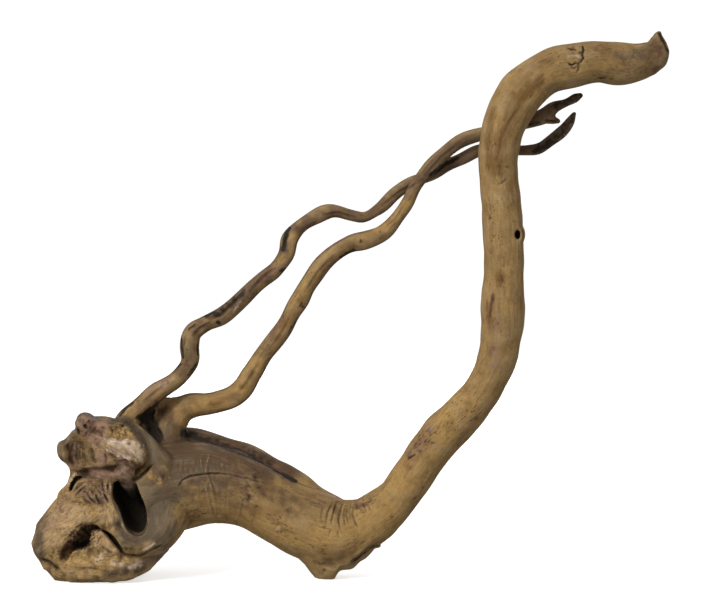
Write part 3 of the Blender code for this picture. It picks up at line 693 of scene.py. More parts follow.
def nearest_strand(points, strands):
    """For each point: the nearest surface's strand and path point, and how far outside that surface it is.

    The distance to a path point is the root of |p|2 + |q|2 - 2 p.q, less the strand's radius there.
    """
    paths = [path_through(knots) for knots in strands]
    middles = np.vstack([path for path, _ in paths]).astype(np.float32)
    winners, outside = [], []
    for start in range(0, len(points), BLOCK):
        some = points[start : start + BLOCK].astype(np.float32)
        squared = (some**2).sum(1)[:, None] + (middles[:, :3] ** 2).sum(1) - 2 * some @ middles[:, :3].T
        gap = np.sqrt(np.maximum(squared, 0)) - middles[:, 3]
        best = gap.argmin(axis=1)
        winners.append(best)
        outside.append(gap[np.arange(len(some)), best])
    return paths, np.concatenate(winners), np.concatenate(outside)


def lie_of_grain(points):
    """For each point: distance along its strand, and its offset from the middle, sideways and up, in mm."""
    paths, winner, _ = nearest_strand(points, GUIDES)
    middle = np.vstack([path[:, :3] for path, _ in paths])
    along = np.concatenate([length + GUIDE_GAP * number for number, (_, length) in enumerate(paths)])
    onwards, sideways, up = (np.vstack(rows) for rows in zip(*(compass(path) for path, _ in paths)))
    offset = points - middle[winner]
    s = along[winner] + (offset * onwards[winner]).sum(axis=1)
    a = (offset * sideways[winner]).sum(axis=1)
    b = (offset * up[winner]).sum(axis=1)
    return np.column_stack([s, a, b])


points, normals = read_points(root)
grain = lie_of_grain(points)
print("grain looked up for", len(grain), "points")

# %% [markdown]
# ## Relief
#
# Old wood is never smooth. Sound wood is a little uneven all over, with long shallow ridges like sinews
# along the grain, and here and there a drying crack. Broken wood is ragged. All of it is one kind of noise,
# a sum of sine waves with seeded directions and lengths, read from differently stretched points. A
# displacement modifier with a texture could do this, but not along the grain. The marks of the next cells
# are drawn where the camera shows them, because wood that is nearer to it looks larger and lower than it
# is.

# %% Relief
X, Y, Z = 0, 1, 2
WAVES = 24
CREASE_HEIGHT = 1.6
UNEVEN = 0.55
UNEVEN_LENGTHS = (45, 16)
PATCH_RIM = (0.6, 1.1)
RELIEF_FACING = (0.25, -0.35)
RAGGED = 0.7
RAGGED_LENGTHS = (16, 7)
BROKEN_FROM = (-150, -166)
BROKEN_FACE = (-4, -20)
BROKEN_SLANT = (0, -0.5)
SOUND_TONGUE = ((-163, 63), (9, 19))
SINEW = 0.15
SINEW_LOST = 0.6
SINEW_LENGTHS = (16, 6)
SINEW_STRETCH = (0.12, 1, 1)
FIBRE = 0.07
FIBRE_LENGTHS = (4.2, 2.4)
FIBRE_STRETCH = (0.08, 1, 1)
CHECK_DEPTH = 0.7
CHECK_LENGTHS = (15, 7)
CHECK_STRETCH = (0.05, 1, 1)
CHECK_WIDTH = 0.05
CHECK_PLACES = (70, 30)
CHECK_FROM = (0.4, 1.1)
CHECKS_BEHIND = 0.8


def waves(points, longest, shortest, seed):
    """Smooth noise from -1 to 1: a sum of sine waves with random directions, lengths and starts."""
    draw = np.random.default_rng(seed)
    directions = draw.normal(size=(WAVES, 3))
    directions /= np.linalg.norm(directions, axis=1)[:, None]
    lengths = draw.uniform(shortest, longest, WAVES)
    starts = draw.uniform(0, 2 * np.pi, WAVES)
    phase = points @ (directions * (2 * np.pi / lengths)[:, None]).T + starts
    return np.sin(phase).sum(axis=1) / np.sqrt(WAVES)


def creases(points, longest, shortest, seed):
    """Noise with sharp valleys: the size of smooth noise, less its mean, so that it dips where that is 0."""
    return np.abs(waves(points, longest, shortest, seed)) * CREASE_HEIGHT - 1


def as_shown(points):
    """The points moved to where the photograph's camera shows them: near wood looks larger and lower.

    With the camera's tilt, x and the height across its view are scaled by the viewing distance over the
    distance ahead of the camera. Marks are drawn at these places, and y stays as it is.
    """
    z = points[:, 2] - LOOK_AT.z / MM
    up = z * math.cos(VIEW_TILT) + points[:, 1] * math.sin(VIEW_TILT)
    ahead = VIEW_DISTANCE / MM + points[:, 1] * math.cos(VIEW_TILT) - z * math.sin(VIEW_TILT)
    grown = VIEW_DISTANCE / MM / ahead
    return np.column_stack([points[:, 0] * grown, points[:, 1], up * grown + LOOK_AT.z / MM])


def limited(points, limits):
    """A product of soft steps. Each names a coordinate, where its step is still 0 and where it reaches 1."""
    share = 1.0
    for axis, none, full in limits:
        share = share * eased(points[:, axis], none, full)
    return share


def on_patch(points, middle, size):
    """1 in the middle of an ellipse on the front, fading to 0 at its rim."""
    x = (points[:, 0] - middle[0]) / size[0]
    z = (points[:, 2] - middle[1]) / size[1]
    return 1 - eased(np.sqrt(x * x + z * z), *PATCH_RIM)


def broken_share(points, normals):
    """How far each point is on the stump's broken face: 1 on it and 0 elsewhere."""
    broken = eased(points[:, 0], *BROKEN_FROM) * eased(points[:, 1], *BROKEN_FACE)
    return broken * eased(normals[:, 1], *BROKEN_SLANT) * (1 - on_patch(points, *SOUND_TONGUE))


def drying_cracks(points, grain, front):
    """0 to 1: thin lines where stretched noise passes 0, in the few places where a slow noise is high."""
    line = np.exp(-((waves(grain * CHECK_STRETCH, *CHECK_LENGTHS, seed=41) / CHECK_WIDTH) ** 2))
    places = eased(waves(points, *CHECK_PLACES, seed=42), *CHECK_FROM)
    return line * places * (1 - CHECKS_BEHIND * front)


shown = as_shown(points)
broken = broken_share(points, normals)
front = eased(normals[:, 1], *RELIEF_FACING)
relief = UNEVEN * waves(points, *UNEVEN_LENGTHS, seed=1) * (1 - broken)
relief += RAGGED * waves(points, *RAGGED_LENGTHS, seed=2) * broken
relief += SINEW * waves(grain * SINEW_STRETCH, *SINEW_LENGTHS, seed=3) * (1 - SINEW_LOST * broken)
relief += FIBRE * waves(grain * FIBRE_STRETCH, *FIBRE_LENGTHS, seed=4)
relief -= CHECK_DEPTH * drying_cracks(points, grain, front)
print("relief from", round(relief.min(), 2), "to", round(relief.max(), 2), "mm")

# %% [markdown]
# ## Torn faces
#
# Where the stump broke, the wood tore along its fibres and left thin steps, like a pack of cards pushed
# aslant. A saw wave gives such steps: it climbs slowly across the fibres and falls at once. Each torn face
# has its own slant. Above the cavity the steps run in arcs round an old knot. Soft, rotten places crumble
# into small pits.

# %% Torn faces
TORN = [
    ((-170, 96.5), (18, 10), (0.80, -0.60), 3.0, 0.6),
    ((-202, 93), (9, 12), (0.12, 0.99), 2.6, 0.6),
    ((-185, 69), (6, 8), (0.10, 0.99), 2.2, 0.5),
    ((-186, 48), (13, 12), (0.25, 0.97), 2.6, 0.25),
    ((-222, 36), (14, 20), (0.45, 0.89), 3, 0.22),
    ((-200, 13), (20, 9), (0.97, 0.24), 3.4, 0.3),
    ((-187, 27), (6, 8), (0.55, -0.83), 2.4, 0.6),
    ((-198, 113), (9, 8), (0.60, 0.80), 2.8, 0.7),
]
TEAR_LENGTHS = (11, 5)
TEAR_WANDER = 0.55
TEAR_SEEDS = 10
ALONG_FIBRE = 6
ARC_MIDDLE = (-193, 55)
ARC_REACH = (8, 21)
ARC_SPACING = 2.5
ARC_HEIGHT = 0.15
ARC_RIMS = (2, 3)
ARC_UPPER = (2, 6)
CRUMBLED = [((-172, 110.5), (11, 6.5), 0.5), ((-201, 31), (16, 11), 1.0), ((-190, 66), (12, 9), 0.35)]
CRUMB_LENGTHS = (5, 2.6)
CRUMB = 0.09


def saw(phase):
    """It climbs from -0.5 to 0.5 and falls back at each whole number."""
    return phase - np.floor(phase) - 0.5


def torn(points, slant, spacing, seed):
    """Steps across a slant on the front: a saw of the distance across it, which wanders slowly along it."""
    along = points[:, 0] * slant[0] + points[:, 2] * slant[1]
    across = points[:, 0] * slant[1] - points[:, 2] * slant[0]
    turned = np.column_stack([along / ALONG_FIBRE, across, points[:, 1]])
    return saw(across / spacing + TEAR_WANDER * waves(turned, *TEAR_LENGTHS, seed))


def arcs(points):
    """Steps in rings: a saw of the distance from a middle, on the upper half of a ring-shaped band."""
    x, z = points[:, 0] - ARC_MIDDLE[0], points[:, 2] - ARC_MIDDLE[1]
    away = np.hypot(x, z)
    inner, outer = ARC_REACH
    band = eased(away, inner, inner + ARC_RIMS[0]) * eased(away, outer, outer - ARC_RIMS[1])
    steps = saw(away / ARC_SPACING + TEAR_WANDER * waves(points, *TEAR_LENGTHS, seed=31))
    return band * eased(z, *ARC_UPPER) * steps


for number, (middle, size, slant, spacing, height) in enumerate(TORN):
    steps = torn(points, slant, spacing, TEAR_SEEDS + number)
    relief += height * on_patch(shown, middle, size) * steps * front
relief += ARC_HEIGHT * arcs(shown) * front
crumbs = creases(points, *CRUMB_LENGTHS, seed=5)
relief += CRUMB * crumbs * broken
for middle, size, height in CRUMBLED:
    relief += height * on_patch(shown, middle, size) * crumbs * front
print("torn faces:", len(TORN), "crumbled:", len(CRUMBLED))

# %% [markdown]
# ## Grooves, ridges and pits
#
# The marks that make this root itself are drawn on the front as bent lines, each with a width and a depth
# in millimetres. Near a line the surface sinks by the depth, and the dip fades like a bell curve. A line of
# two points close together is a pit, and a negative depth raises a ridge.

# %% Strokes
STROKE_REACH = 3
STROKE_TIP = 0.35
TIP_LENGTH = 0.25
PIT_LENGTH = 0.6
ELBOW_WRINKLES = [
    (0.7, 1.2, [(-13, 57.5), (-17, 50), (-18.5, 42)]),
    (0.7, 1, [(-10, 57.5), (-13, 48), (-15, 40)]),
    (0.7, 1.4, [(-6, 56.5), (-8, 50), (-9, 44), (-7.5, 37)]),
    (0.7, 1, [(-4, 55), (-5, 47), (-4, 40)]),
    (0.7, 1.2, [(-2, 56), (-3, 48), (-1.2, 41)]),
    (0.7, 1, [(0.2, 57), (-0.8, 50), (0.5, 42)]),
    (0.7, 1.2, [(3.2, 56), (1.2, 49), (3.2, 43), (5.5, 38)]),
    (0.7, 0.9, [(5, 57), (4.2, 52)]),
    (0.7, 0.75, [(9.5, 56), (11.5, 50)]),
    (0.7, 0.6, [(13, 55), (15, 51)]),
    (0.7, 0.75, [(-9.5, 36), (-9, 30.5)]),
    (0.7, 0.6, [(-14.5, 37), (-17, 30.5)]),
    (0.7, 0.6, [(-21, 53), (-22.5, 44)]),
]
LIMB_WRINKLES = [
    (0.6, -0.5, [(-106.5, 92), (-109, 81), (-106, 73), (-102.5, 60), (-101.6, 47)]),
    (0.6, -0.45, [(-109.4, 71.5), (-106, 56), (-103, 44)]),
    (0.6, -0.4, [(-112.5, 92), (-112, 82)]),
    (0.6, -0.35, [(-82.4, 57), (-84, 48), (-87, 42)]),
    (0.6, 0.3, [(-104.4, 91), (-106.8, 80), (-104, 72), (-100.6, 60), (-99.8, 48)]),
    (0.6, 0.3, [(-107.6, 71), (-104.4, 56), (-101.6, 45)]),
    (0.6, 0.2, [(-97, 66), (-97.6, 52)]),
    (0.6, 0.2, [(-93, 70), (-94, 48)]),
    (0.6, 0.2, [(-89, 66), (-90.5, 48)]),
    (0.6, 0.25, [(-80.4, 58), (-82, 48)]),
    (0.6, 0.2, [(-116, 90), (-117, 80)]),
    (0.6, 0.2, [(-121, 89), (-121, 80)]),
    (0.6, 0.2, [(-114, 72), (-112, 58)]),
    (0.6, 0.2, [(-119, 73), (-117, 58)]),
    (0.6, 0.2, [(-125, 90), (-126, 80)]),
    (0.6, 0.2, [(-129, 88), (-130, 79)]),
]
LIMB_CRACKS = [
    (0.6, 1.7, [(-128.5, 70), (-126, 74), (-120, 77), (-113, 78), (-105, 78.8), (-98, 78.8), (-90, 78)]),
    (0.7, 0.9, [(-90, 78), (-83, 76.5), (-76, 75), (-70, 73)]),
    (0.8, 0.8, [(-80, 92.6), (-72, 89.6), (-66, 87), (-58, 83.4), (-51, 78.6)]),
    (0.8, 0.8, [(-113, 106), (-100, 103), (-88, 98.5), (-76, 93.5), (-66, 88)]),
    (0.65, 1.2, [(42, 88), (44, 90.4), (46, 91.8), (48.5, 93)]),
    (0.65, 1.0, [(50.5, 94.3), (53, 96)]),
    (2.0, 0.5, [(-29, 12), (-20, 10.4), (-8, 11.2), (3, 13)]),
    (0.8, 1.0, [(1, 13.5), (6, 16.5), (12, 21.5), (17, 25)]),
    (1.0, 0.7, [(104.5, 196), (105.5, 204), (107, 213)]),
    (0.8, 0.6, [(110.5, 315), (113, 330), (119, 343), (127, 354)]),
    (0.7, 0.9, [(110.5, 295.5), (113.6, 296.6), (117.2, 299.6)]),
    (0.8, 0.5, [(112, 300), (112.3, 312)]),
    (0.8, 1.4, [(174, 399), (174.8, 396), (173.8, 393.5), (174.6, 390.5), (173, 387.5)]),
    (0.75, 1.2, [(173, 387.5), (171.2, 385.6), (171.6, 382.5), (170, 379)]),
    (0.75, 1.3, [(163, 397.6), (166, 396.6), (167.2, 398), (169, 396)]),
    (0.75, 1.2, [(166.6, 394), (169.6, 393), (172, 394.2), (174, 393.4)]),
    (0.75, 1.2, [(163.4, 386), (166.4, 385), (168.8, 386.6), (172, 385.6)]),
    (0.75, 1.1, [(165, 383.4), (168, 382.4), (170, 383.6)]),
    (1.2, -0.5, [(170.5, 396), (171, 391), (170, 388)]),
]
STUMP_MARKS = [
    (1.2, 2.6, [(-150.4, 84.4), (-153.6, 80.4), (-157.4, 76.8), (-162, 74.4)]),
    (1.1, 1.3, [(-176, 88.2), (-170, 88), (-164, 86.6), (-158.5, 84.2)]),
    (0.9, -0.8, [(-171, 100), (-165, 95.5), (-160.5, 91), (-158, 87.6)]),
    (0.7, 0.9, [(-168.5, 98.5), (-164, 94), (-159.5, 88.5)]),
    (0.8, 1.1, [(-178.6, 112), (-178.2, 109.6)]),
    (0.8, 1.2, [(-174.2, 110.6), (-173.4, 107.6)]),
    (0.8, 1.1, [(-168.6, 109.8), (-167.4, 107)]),
    (1.3, 2.4, [(-171.4, 115), (-170.6, 114.2)]),
    (1.5, 2.6, [(-199.6, 115), (-198, 112.8)]),
    (1.0, 2.0, [(-204.6, 112.2), (-203.4, 108.2)]),
    (0.8, 1.2, [(-196.5, 119), (-194.8, 116.4)]),
    (0.9, 1.0, [(-201.4, 119.5), (-199.6, 117)]),
    (0.9, 1.2, [(-190, 110.5), (-187.4, 108.6), (-186, 106)]),
    (0.8, 0.9, [(-187, 113.5), (-184, 112)]),
    (1.5, 2.0, [(-195, 98.6), (-194, 94), (-193.2, 89.5), (-191.6, 85.6)]),
    (0.9, 1.0, [(-184, 95.5), (-182.4, 90), (-184, 86.6)]),
    (1.0, -1.4, [(-214, 19), (-209, 23)]),
    (0.9, -1.3, [(-210, 28.6), (-205, 31.6)]),
    (1.0, 1.4, [(-212, 30), (-206, 36)]),
    (0.8, 1.4, [(-206, 38), (-200.6, 42)]),
    (0.9, -1.4, [(-199, 38), (-193.6, 38.6)]),
    (1.0, 0.9, [(-211, 100), (-210.4, 92), (-208, 85)]),
    (0.8, 0.6, [(-205.5, 100), (-205, 91), (-204, 84)]),
    (0.8, 0.6, [(-200, 99), (-199.6, 91), (-199, 84.5)]),
    (1.0, -0.8, [(-211.8, 71.5), (-208.6, 76), (-205.6, 79.4)]),
    (0.8, 1.8, [(-207.4, 66), (-203.6, 70.4), (-199.4, 72.6)]),
    (0.8, 1.6, [(-206, 62.5), (-202, 67), (-198.6, 69)]),
    (0.7, 2.2, [(-191, 62.8), (-189.8, 59.4), (-188.2, 56.2)]),
    (0.7, 2.2, [(-184.9, 64), (-183.6, 61), (-181.9, 57.8)]),
    (0.65, 1.4, [(-194.6, 66), (-192, 62.4)]),
    (0.65, 1.4, [(-188.4, 66), (-186.8, 62)]),
    (0.65, 1.2, [(-201, 66), (-197, 64)]),
    (0.8, 1.4, [(-197, 62.4), (-194.4, 59), (-191.4, 56.8)]),
    (0.8, 1.3, [(-201.5, 61), (-198, 57.4), (-193.5, 55.6)]),
    (0.7, 1.5, [(-182.2, 71), (-181.2, 66)]),
    (0.7, 1.3, [(-185.6, 71.6), (-184.8, 66.4)]),
    (0.8, -0.7, [(-183.9, 71.4), (-183, 66)]),
    (0.8, -0.6, [(-180.4, 71), (-179.6, 65.4)]),
    (0.9, 1.3, [(-218.4, 54.2), (-217.6, 51.8), (-216.4, 50.2)]),
    (0.7, 1.0, [(-199.6, 50.2), (-198.6, 46.8)]),
    (0.7, 0.5, [(-206, 57), (-212, 50), (-216, 42)]),
    (0.7, 0.4, [(-210, 60), (-217, 50), (-223, 38)]),
    (0.7, 0.4, [(-214, 62), (-222, 52), (-230, 38)]),
    (0.6, 0.5, [(-180, 50), (-179.6, 42)]),
    (0.6, 0.5, [(-183, 51), (-183.4, 42)]),
    (0.6, 0.5, [(-177.4, 50), (-176.6, 43)]),
    (1.0, -0.9, [(-176.5, 57.5), (-173.6, 53), (-172, 47), (-171, 41)]),
    (0.9, -0.6, [(-212, 33), (-206, 39), (-200, 43), (-192, 42.6)]),
    (0.75, 2.6, [(-172.4, 20.6), (-169.6, 18), (-165, 16.5), (-160.4, 16.2), (-155, 18), (-149.6, 21.2)]),
    (0.7, 1.6, [(-149.6, 21.2), (-145, 23.6), (-141.8, 25)]),
    (0.9, -0.8, [(-155, 21), (-150, 24), (-147.4, 26.4)]),
    (0.7, 1.8, [(-187.2, 24.6), (-183.6, 22), (-180, 19.4), (-178.6, 18.4)]),
    (1.0, 1.8, [(-232.6, 14.6), (-229, 13.6), (-225.4, 12.4), (-221.6, 9.6), (-218.6, 7)]),
    (0.8, 1.2, [(-226.4, 17.6), (-222.6, 14.6)]),
    (0.8, 1.3, [(-223, 9), (-220.6, 6)]),
    (0.8, 0.8, [(-206, 5.6), (-197, 7.6), (-187, 6.6)]),
    (0.8, 0.7, [(-178, 13), (-172, 12)]),
    (0.7, 0.9, [(-169, 22.6), (-168, 20.4)]),
]
PITS = [
    (2.4, 1.0, (-71, 76)),
    (2.0, 0.8, (-77.5, 69)),
    (2.2, 1.2, (-76, 60.5)),
    (2.0, 1.0, (-71, 54)),
    (2.2, 1.8, (-52, 35)),
    (1.6, 1.8, (-20, 5.2)),
    (1.6, 1.1, (15, 59)),
    (1.4, 1.0, (18, 38)),
    (1.4, 1.0, (54.5, 68)),
    (1.6, 1.2, (95, 120)),
    (1.5, 1.1, (107.5, 172)),
    (1.8, 1.0, (114, 224)),
    (1.2, 1.0, (105, 270)),
    (1.1, 0.9, (104, 280)),
    (1.6, 1.2, (196, 375)),
    (1.5, 0.9, (205, 388)),
    (1.5, 0.8, (212, 392)),
    (1.6, 1.6, (8, 253)),
    (1.8, 1.7, (-36, 205)),
    (1.5, 1.4, (-99, 192)),
    (1.3, 1.2, (-140, 76)),
]
BRANCH_MARKS = [
    (1.7, 3.0, [(-50, 247), (-49.5, 254), (-47, 261)]),
    (1.3, 1.8, [(-105, 195), (-97, 198), (-90, 205), (-81, 214)]),
    (1.2, 1.4, [(-126, 166), (-126.5, 173), (-125, 180)]),
    (1.2, 1.2, [(-118, 182), (-112, 188), (-106, 191)]),
    (1.1, 1.0, [(-75, 216), (-66, 226), (-58, 232)]),
    (1.1, 1.0, [(-155, 133), (-145, 141), (-135, 149)]),
    (1.0, 0.9, [(-84, 139), (-76, 150), (-68, 163)]),
    (1.0, 0.8, [(-60, 172), (-52, 184), (-46, 194)]),
    (1.0, 0.8, [(-34, 215), (-24, 230), (-13, 242)]),
    (1.0, 0.8, [(22, 260), (34, 270), (42, 283)]),
    (1.0, 0.8, [(-20, 273), (-8, 274), (4, 271)]),
    (0.9, 0.8, [(24, 280), (38, 291), (54, 299)]),
    (0.9, 0.8, [(56, 303), (68, 316), (82, 327)]),
]


def within_reach(points, line, reach):
    """The numbers of the points that lie in the line's bounding box on the front, widened by the reach."""
    low, high = np.min(line, axis=0) - reach, np.max(line, axis=0) + reach
    return np.flatnonzero(((points[:, [X, Z]] > low) & (points[:, [X, Z]] < high)).all(axis=1))


def from_side(flat, start, end):
    """The distance of points on a plane from a straight side, and the share of the way along it, 0 to 1."""
    step = end - start
    t = np.clip((flat - start) @ step / (step @ step), 0, 1)
    return np.linalg.norm(flat - start - t[:, None] * step, axis=1), t


def beside(points, line):
    """Seen from the front, each point's distance from a bent line, and its share of the way along it."""
    line = np.asarray(line, float)
    flat = points[:, [X, Z]]
    best = np.full(len(points), np.inf)
    share = np.zeros(len(points))
    for number, (start, end) in enumerate(zip(line[:-1], line[1:])):
        away, t = from_side(flat, start, end)
        share = np.where(away < best, (number + t) / (len(line) - 1), share)
        best = np.minimum(away, best)
    return best, share


def drawn(points, strokes):
    """The depth of all strokes together at each point: depth x bell curve of the distance / width."""
    depth = np.zeros(len(points))
    for width, deep, line in strokes:
        near = within_reach(points, line, STROKE_REACH * width)
        away, share = beside(points[near], line)
        taper = STROKE_TIP + (1 - STROKE_TIP) * eased(np.minimum(share, 1 - share), 0, TIP_LENGTH)
        depth[near] += deep * taper * np.exp(-((away / width) ** 2))
    return depth


def dots(pits):
    """Pits as strokes of almost no length."""
    half = PIT_LENGTH / 2
    return [(width, deep, [(x - half, z), (x + half, z)]) for width, deep, (x, z) in pits]


STROKES = [*ELBOW_WRINKLES, *LIMB_WRINKLES, *LIMB_CRACKS, *STUMP_MARKS, *BRANCH_MARKS, *dots(PITS)]
relief -= drawn(shown, STROKES) * front
print("strokes:", len(STROKES))

# %% [markdown]
# ## Wrinkled skin
#
# Just past the stump the heavy limb carries fine rings across its grain, where the wood was squeezed as it
# bent. They are ripples along the limb's length, and their phase is bent by noise so that no two are alike.

# %% Ripples
RIPPLE = 0.09
RIPPLE_LENGTH = 3.4
RIPPLED = [(X, -134, -122), (X, -76, -88), (Z, 94, 84)]
RIPPLE_BEND = 3.2
BEND_LENGTHS = (30, 12)
RIPPLE_VARIES = 0.4
VARY_LENGTHS = (18, 9)
ripple_zone = limited(points, RIPPLED)
ripple_phase = 2 * np.pi * points[:, X] / RIPPLE_LENGTH + RIPPLE_BEND * waves(points, *BEND_LENGTHS, seed=6)
varied = 1 - RIPPLE_VARIES + RIPPLE_VARIES * waves(points, *VARY_LENGTHS, seed=7)
relief += RIPPLE * ripple_zone * np.sin(ripple_phase) * varied
points = points + normals * relief[:, None]
write_points(root, points)
print("ripples on", int((ripple_zone > 0.5).sum()), "points")

# %% [markdown]
# ## Fewer faces, and flat feet
#
# The mesh is now even and finer than the smooth limbs need. Decimate merges faces where little is lost,
# which keeps cracks and splinters sharp. Whatever reaches below the floor is then pressed up to it, so that
# the root stands on the flat underside of its stump and on its foot.

# %% Thin out and press flat
MOST_TRIANGLES = 196000


def triangles_of(body):
    """How many triangles the body's own mesh has."""
    body.data.calc_loop_triangles()
    return len(body.data.loop_triangles)


thin = root.modifiers.new("fewer_faces", "DECIMATE")
thin.ratio = min(1, MOST_TRIANGLES / triangles_of(root))
settle(root)
points, normals = read_points(root)
points[:, 2] = np.maximum(points[:, 2], 0)
write_points(root, points)
print("triangles:", triangles_of(root), "flat points:", int((points[:, 2] == 0).sum()))

# %% [markdown]
# ## Where the wood changes colour
#
# The root isn't one colour. Sun and water bleached some faces grey, heartwood shows reddish brown, old
# stains are rusty, fresh tears are pale, and rot and soil are almost black. Painted shade makes the hollows,
# slots and pocket almost black too. Each of these is a zone, drawn on the front as soft strokes (width,
# strength, line) or as patches (edge, strength, outline). Some strokes belong to the branches alone, where
# they pass behind the limb. Painted shade darkens the sides and backs of the branches brown and their edges
# near black, and one more zone says where dark flecks crowd. A zone is kept as a number from 0 to 1 at each
# point of the mesh, and the material mixes its tones by those numbers.

# %% Zones
def again(strokes, width, strength):
    """The lines of some grooves or ridges, to be coloured at that width and strength."""
    return [(width, strength, line) for _, _, line in strokes]


GREY_STROKES = [
    (22, 0.9, [(-146, 60), (-130, 84), (-104, 86)]),
    (12, 0.9, [(-152, 110), (-140, 98), (-128, 96), (-104, 94)]),
    (16, 0.95, [(-146, 52), (-144, 34)]),
    (7, 0.9, [(-170, 34), (-162, 29), (-150, 31), (-144, 42)]),
    (5, 0.8, [(-174, 44), (-172, 36)]),
    (9, 0.9, [(-170, 84), (-168, 74), (-164, 62), (-160, 48)]),
    (5, 0.8, [(-206, 118), (-200, 124), (-190, 120)]),
    (5, 0.7, [(-206, 112), (-214, 104), (-219, 98), (-217, 88)]),
    (4.5, 1.0, [(-178, 119), (-167, 117.5), (-158, 110), (-151, 100), (-147, 90)]),
    (6, 0.9, [(-172, 78), (-166, 68), (-162, 58)]),
    (7, 0.7, [(-232, 44), (-236, 28), (-233, 17)]),
    (4, 0.7, [(-217.5, 98), (-217, 90)]),
    (6, 0.8, [(-182, 5), (-160, 7), (-146, 16)]),
    (6, 0.5, [(-166, 28), (-152, 30)]),
    (13, 0.45, [(192, 390), (226, 392)]),
    (5, 0.8, [(-98, 196), (-90, 204), (-82, 212)]),
    (5, 0.6, [(150, 330), (168, 347)]),
]
# Dark brown: weathered wood, and painted shade in the branch pocket and in the band under the broken lobe.
BROWN_STROKES = [
    (20, 0.6, [(-136, 78), (-108, 78), (-84, 70)]),
    (12, 0.52, [(-84, 74), (-62, 64), (-40, 54)]),
    (13, 0.8, [(-134, 98), (-110, 96), (-85, 87), (-66, 77)]),
    (9, 0.4, [(-125, 70), (-95, 64)]),
    (8, 1.0, [(-124, 108), (-100, 103), (-80, 96), (-60, 87), (-44, 79)]),
    (7, 0.4, [(-34, 58), (-8, 54), (14, 58)]),
    (1.7, 0.6, [(113.6, 310), (112.6, 298)]),
    (1.3, 0.6, [(117, 309), (119, 309)]),
    (2.8, 0.3, [(113, 226), (114, 221.5)]),
    (6, 0.6, [(-176, 78), (-168, 72)]),
    (7, 0.45, [(-160, 128), (-146, 139), (-128, 152)]),
    (7, 0.7, [(-126, 154), (-121, 166), (-119, 184), (-96, 196)]),
    (5, 0.4, [(20, 256), (40, 280), (50, 296)]),
    (3, 0.5, [(-224, 14), (-214, 10)]),
    (7, 0.7, [(-66, 224), (-54, 234), (-48, 250)]),
    (7, 0.75, [(-40, 262), (-26, 270), (-13, 275), (10, 270), (34, 288), (60, 302)]),
    (6, 0.5, [(-8, 248), (22, 258), (42, 281), (60, 308), (95, 332)]),
    (9, 0.6, [(-140, 126), (-128, 128), (-116, 128)]),
    (4.5, 0.8, [(-198, 80), (-188, 79), (-176, 81)]),
    (6, 0.5, [(-174, 88), (-160, 84)]),
    (4, 0.6, [(-201, 100), (-200, 86)]),
    (7, 1.0, [(-102, 197), (-88, 206), (-78, 216), (-62, 230)]),
    (6, 0.7, [(-46, 262), (-30, 269), (-8, 275), (12, 272), (30, 284), (44, 295)]),
    (6, 0.5, [(-30, 222), (0, 250), (24, 258), (40, 278), (52, 300), (72, 320)]),
    (6, 0.6, [(-118, 160), (-120, 178), (-108, 192)]),
    (9, 0.6, [(226, 404), (236, 392), (228, 382)]),
    (8, 0.35, [(182, 380), (210, 384)]),
    (6, 0.5, [(-64, 170), (-50, 196)]),
    (8, 0.8, [(-138, 118), (-133, 108)]),
    (5, 0.6, [(-166, 26), (-158, 24)]),
    (6, 0.5, [(-24, 12), (0, 14)]),
]
GOLD_STROKES = [
    (11, 0.7, [(-92, 42), (-60, 36), (-36, 28)]),
    (15, 0.9, [(-24, 30), (6, 36), (30, 50)]),
    (13, 0.8, [(36, 70), (58, 100), (84, 130)]),
    (7, 0.45, [(-200, 49), (-184, 50), (-176, 47)]),
    (5.5, 0.5, [(-151, 79), (-144, 72)]),
    (5, 0.3, [(-140, 84), (-136, 74)]),
    (7, 0.6, [(-210, 15), (-190, 12), (-178, 12)]),
    (7, 0.7, [(-126, 128), (-92, 132), (-80, 143), (-70, 160)]),
    (6, 0.5, [(-58, 180), (-42, 204), (-26, 232)]),
    (4, 0.5, [(-56, 234), (-46, 244), (-42, 258)]),
    (5, 0.6, [(8, 253), (30, 266), (42, 282)]),
    (5, 0.5, [(-226, 14), (-219, 9)]),
    (8, 0.5, [(128, 352), (146, 376), (170, 380)]),
    (6, 0.5, [(180, 385), (200, 386)]),
    (5, 0.5, [(104, 330), (112, 350)]),
    (6, 0.4, [(116, 250), (118, 200)]),
]
ROSE_STROKES = [
    (6, 0.9, [(-198, 79), (-188, 78), (-178, 80)]),
    (6, 0.5, [(-176, 78), (-166, 72)]),
    (12, 0.45, [(46, 96), (56, 106)]),
    (5, 0.7, [(-207, 100), (-207, 86)]),
    (5, 0.6, [(-190, 100), (-186, 90)]),
    (5, 0.6, [(-152, 140), (-140, 146)]),
    (5, 0.7, [(-209, 98), (-207, 88)]),
    (7, 0.3, [(-96, 88), (-80, 80)]),
    (5, 0.7, [(-172, 90), (-168, 80)]),
    (5, 0.3, [(150, 392), (134, 384)]),
    (4, 0.5, [(176, 374), (150, 366)]),
    (6, 0.5, [(46, 92), (60, 112)]),
    (5, 0.5, [(108, 160), (108, 190)]),
    (8, 0.4, [(-226, 40), (-214, 54)]),
    (4, 0.6, [(-174, 74), (-180, 84)]),
    (4, 0.5, [(-60, 228), (-50, 236)]),
]
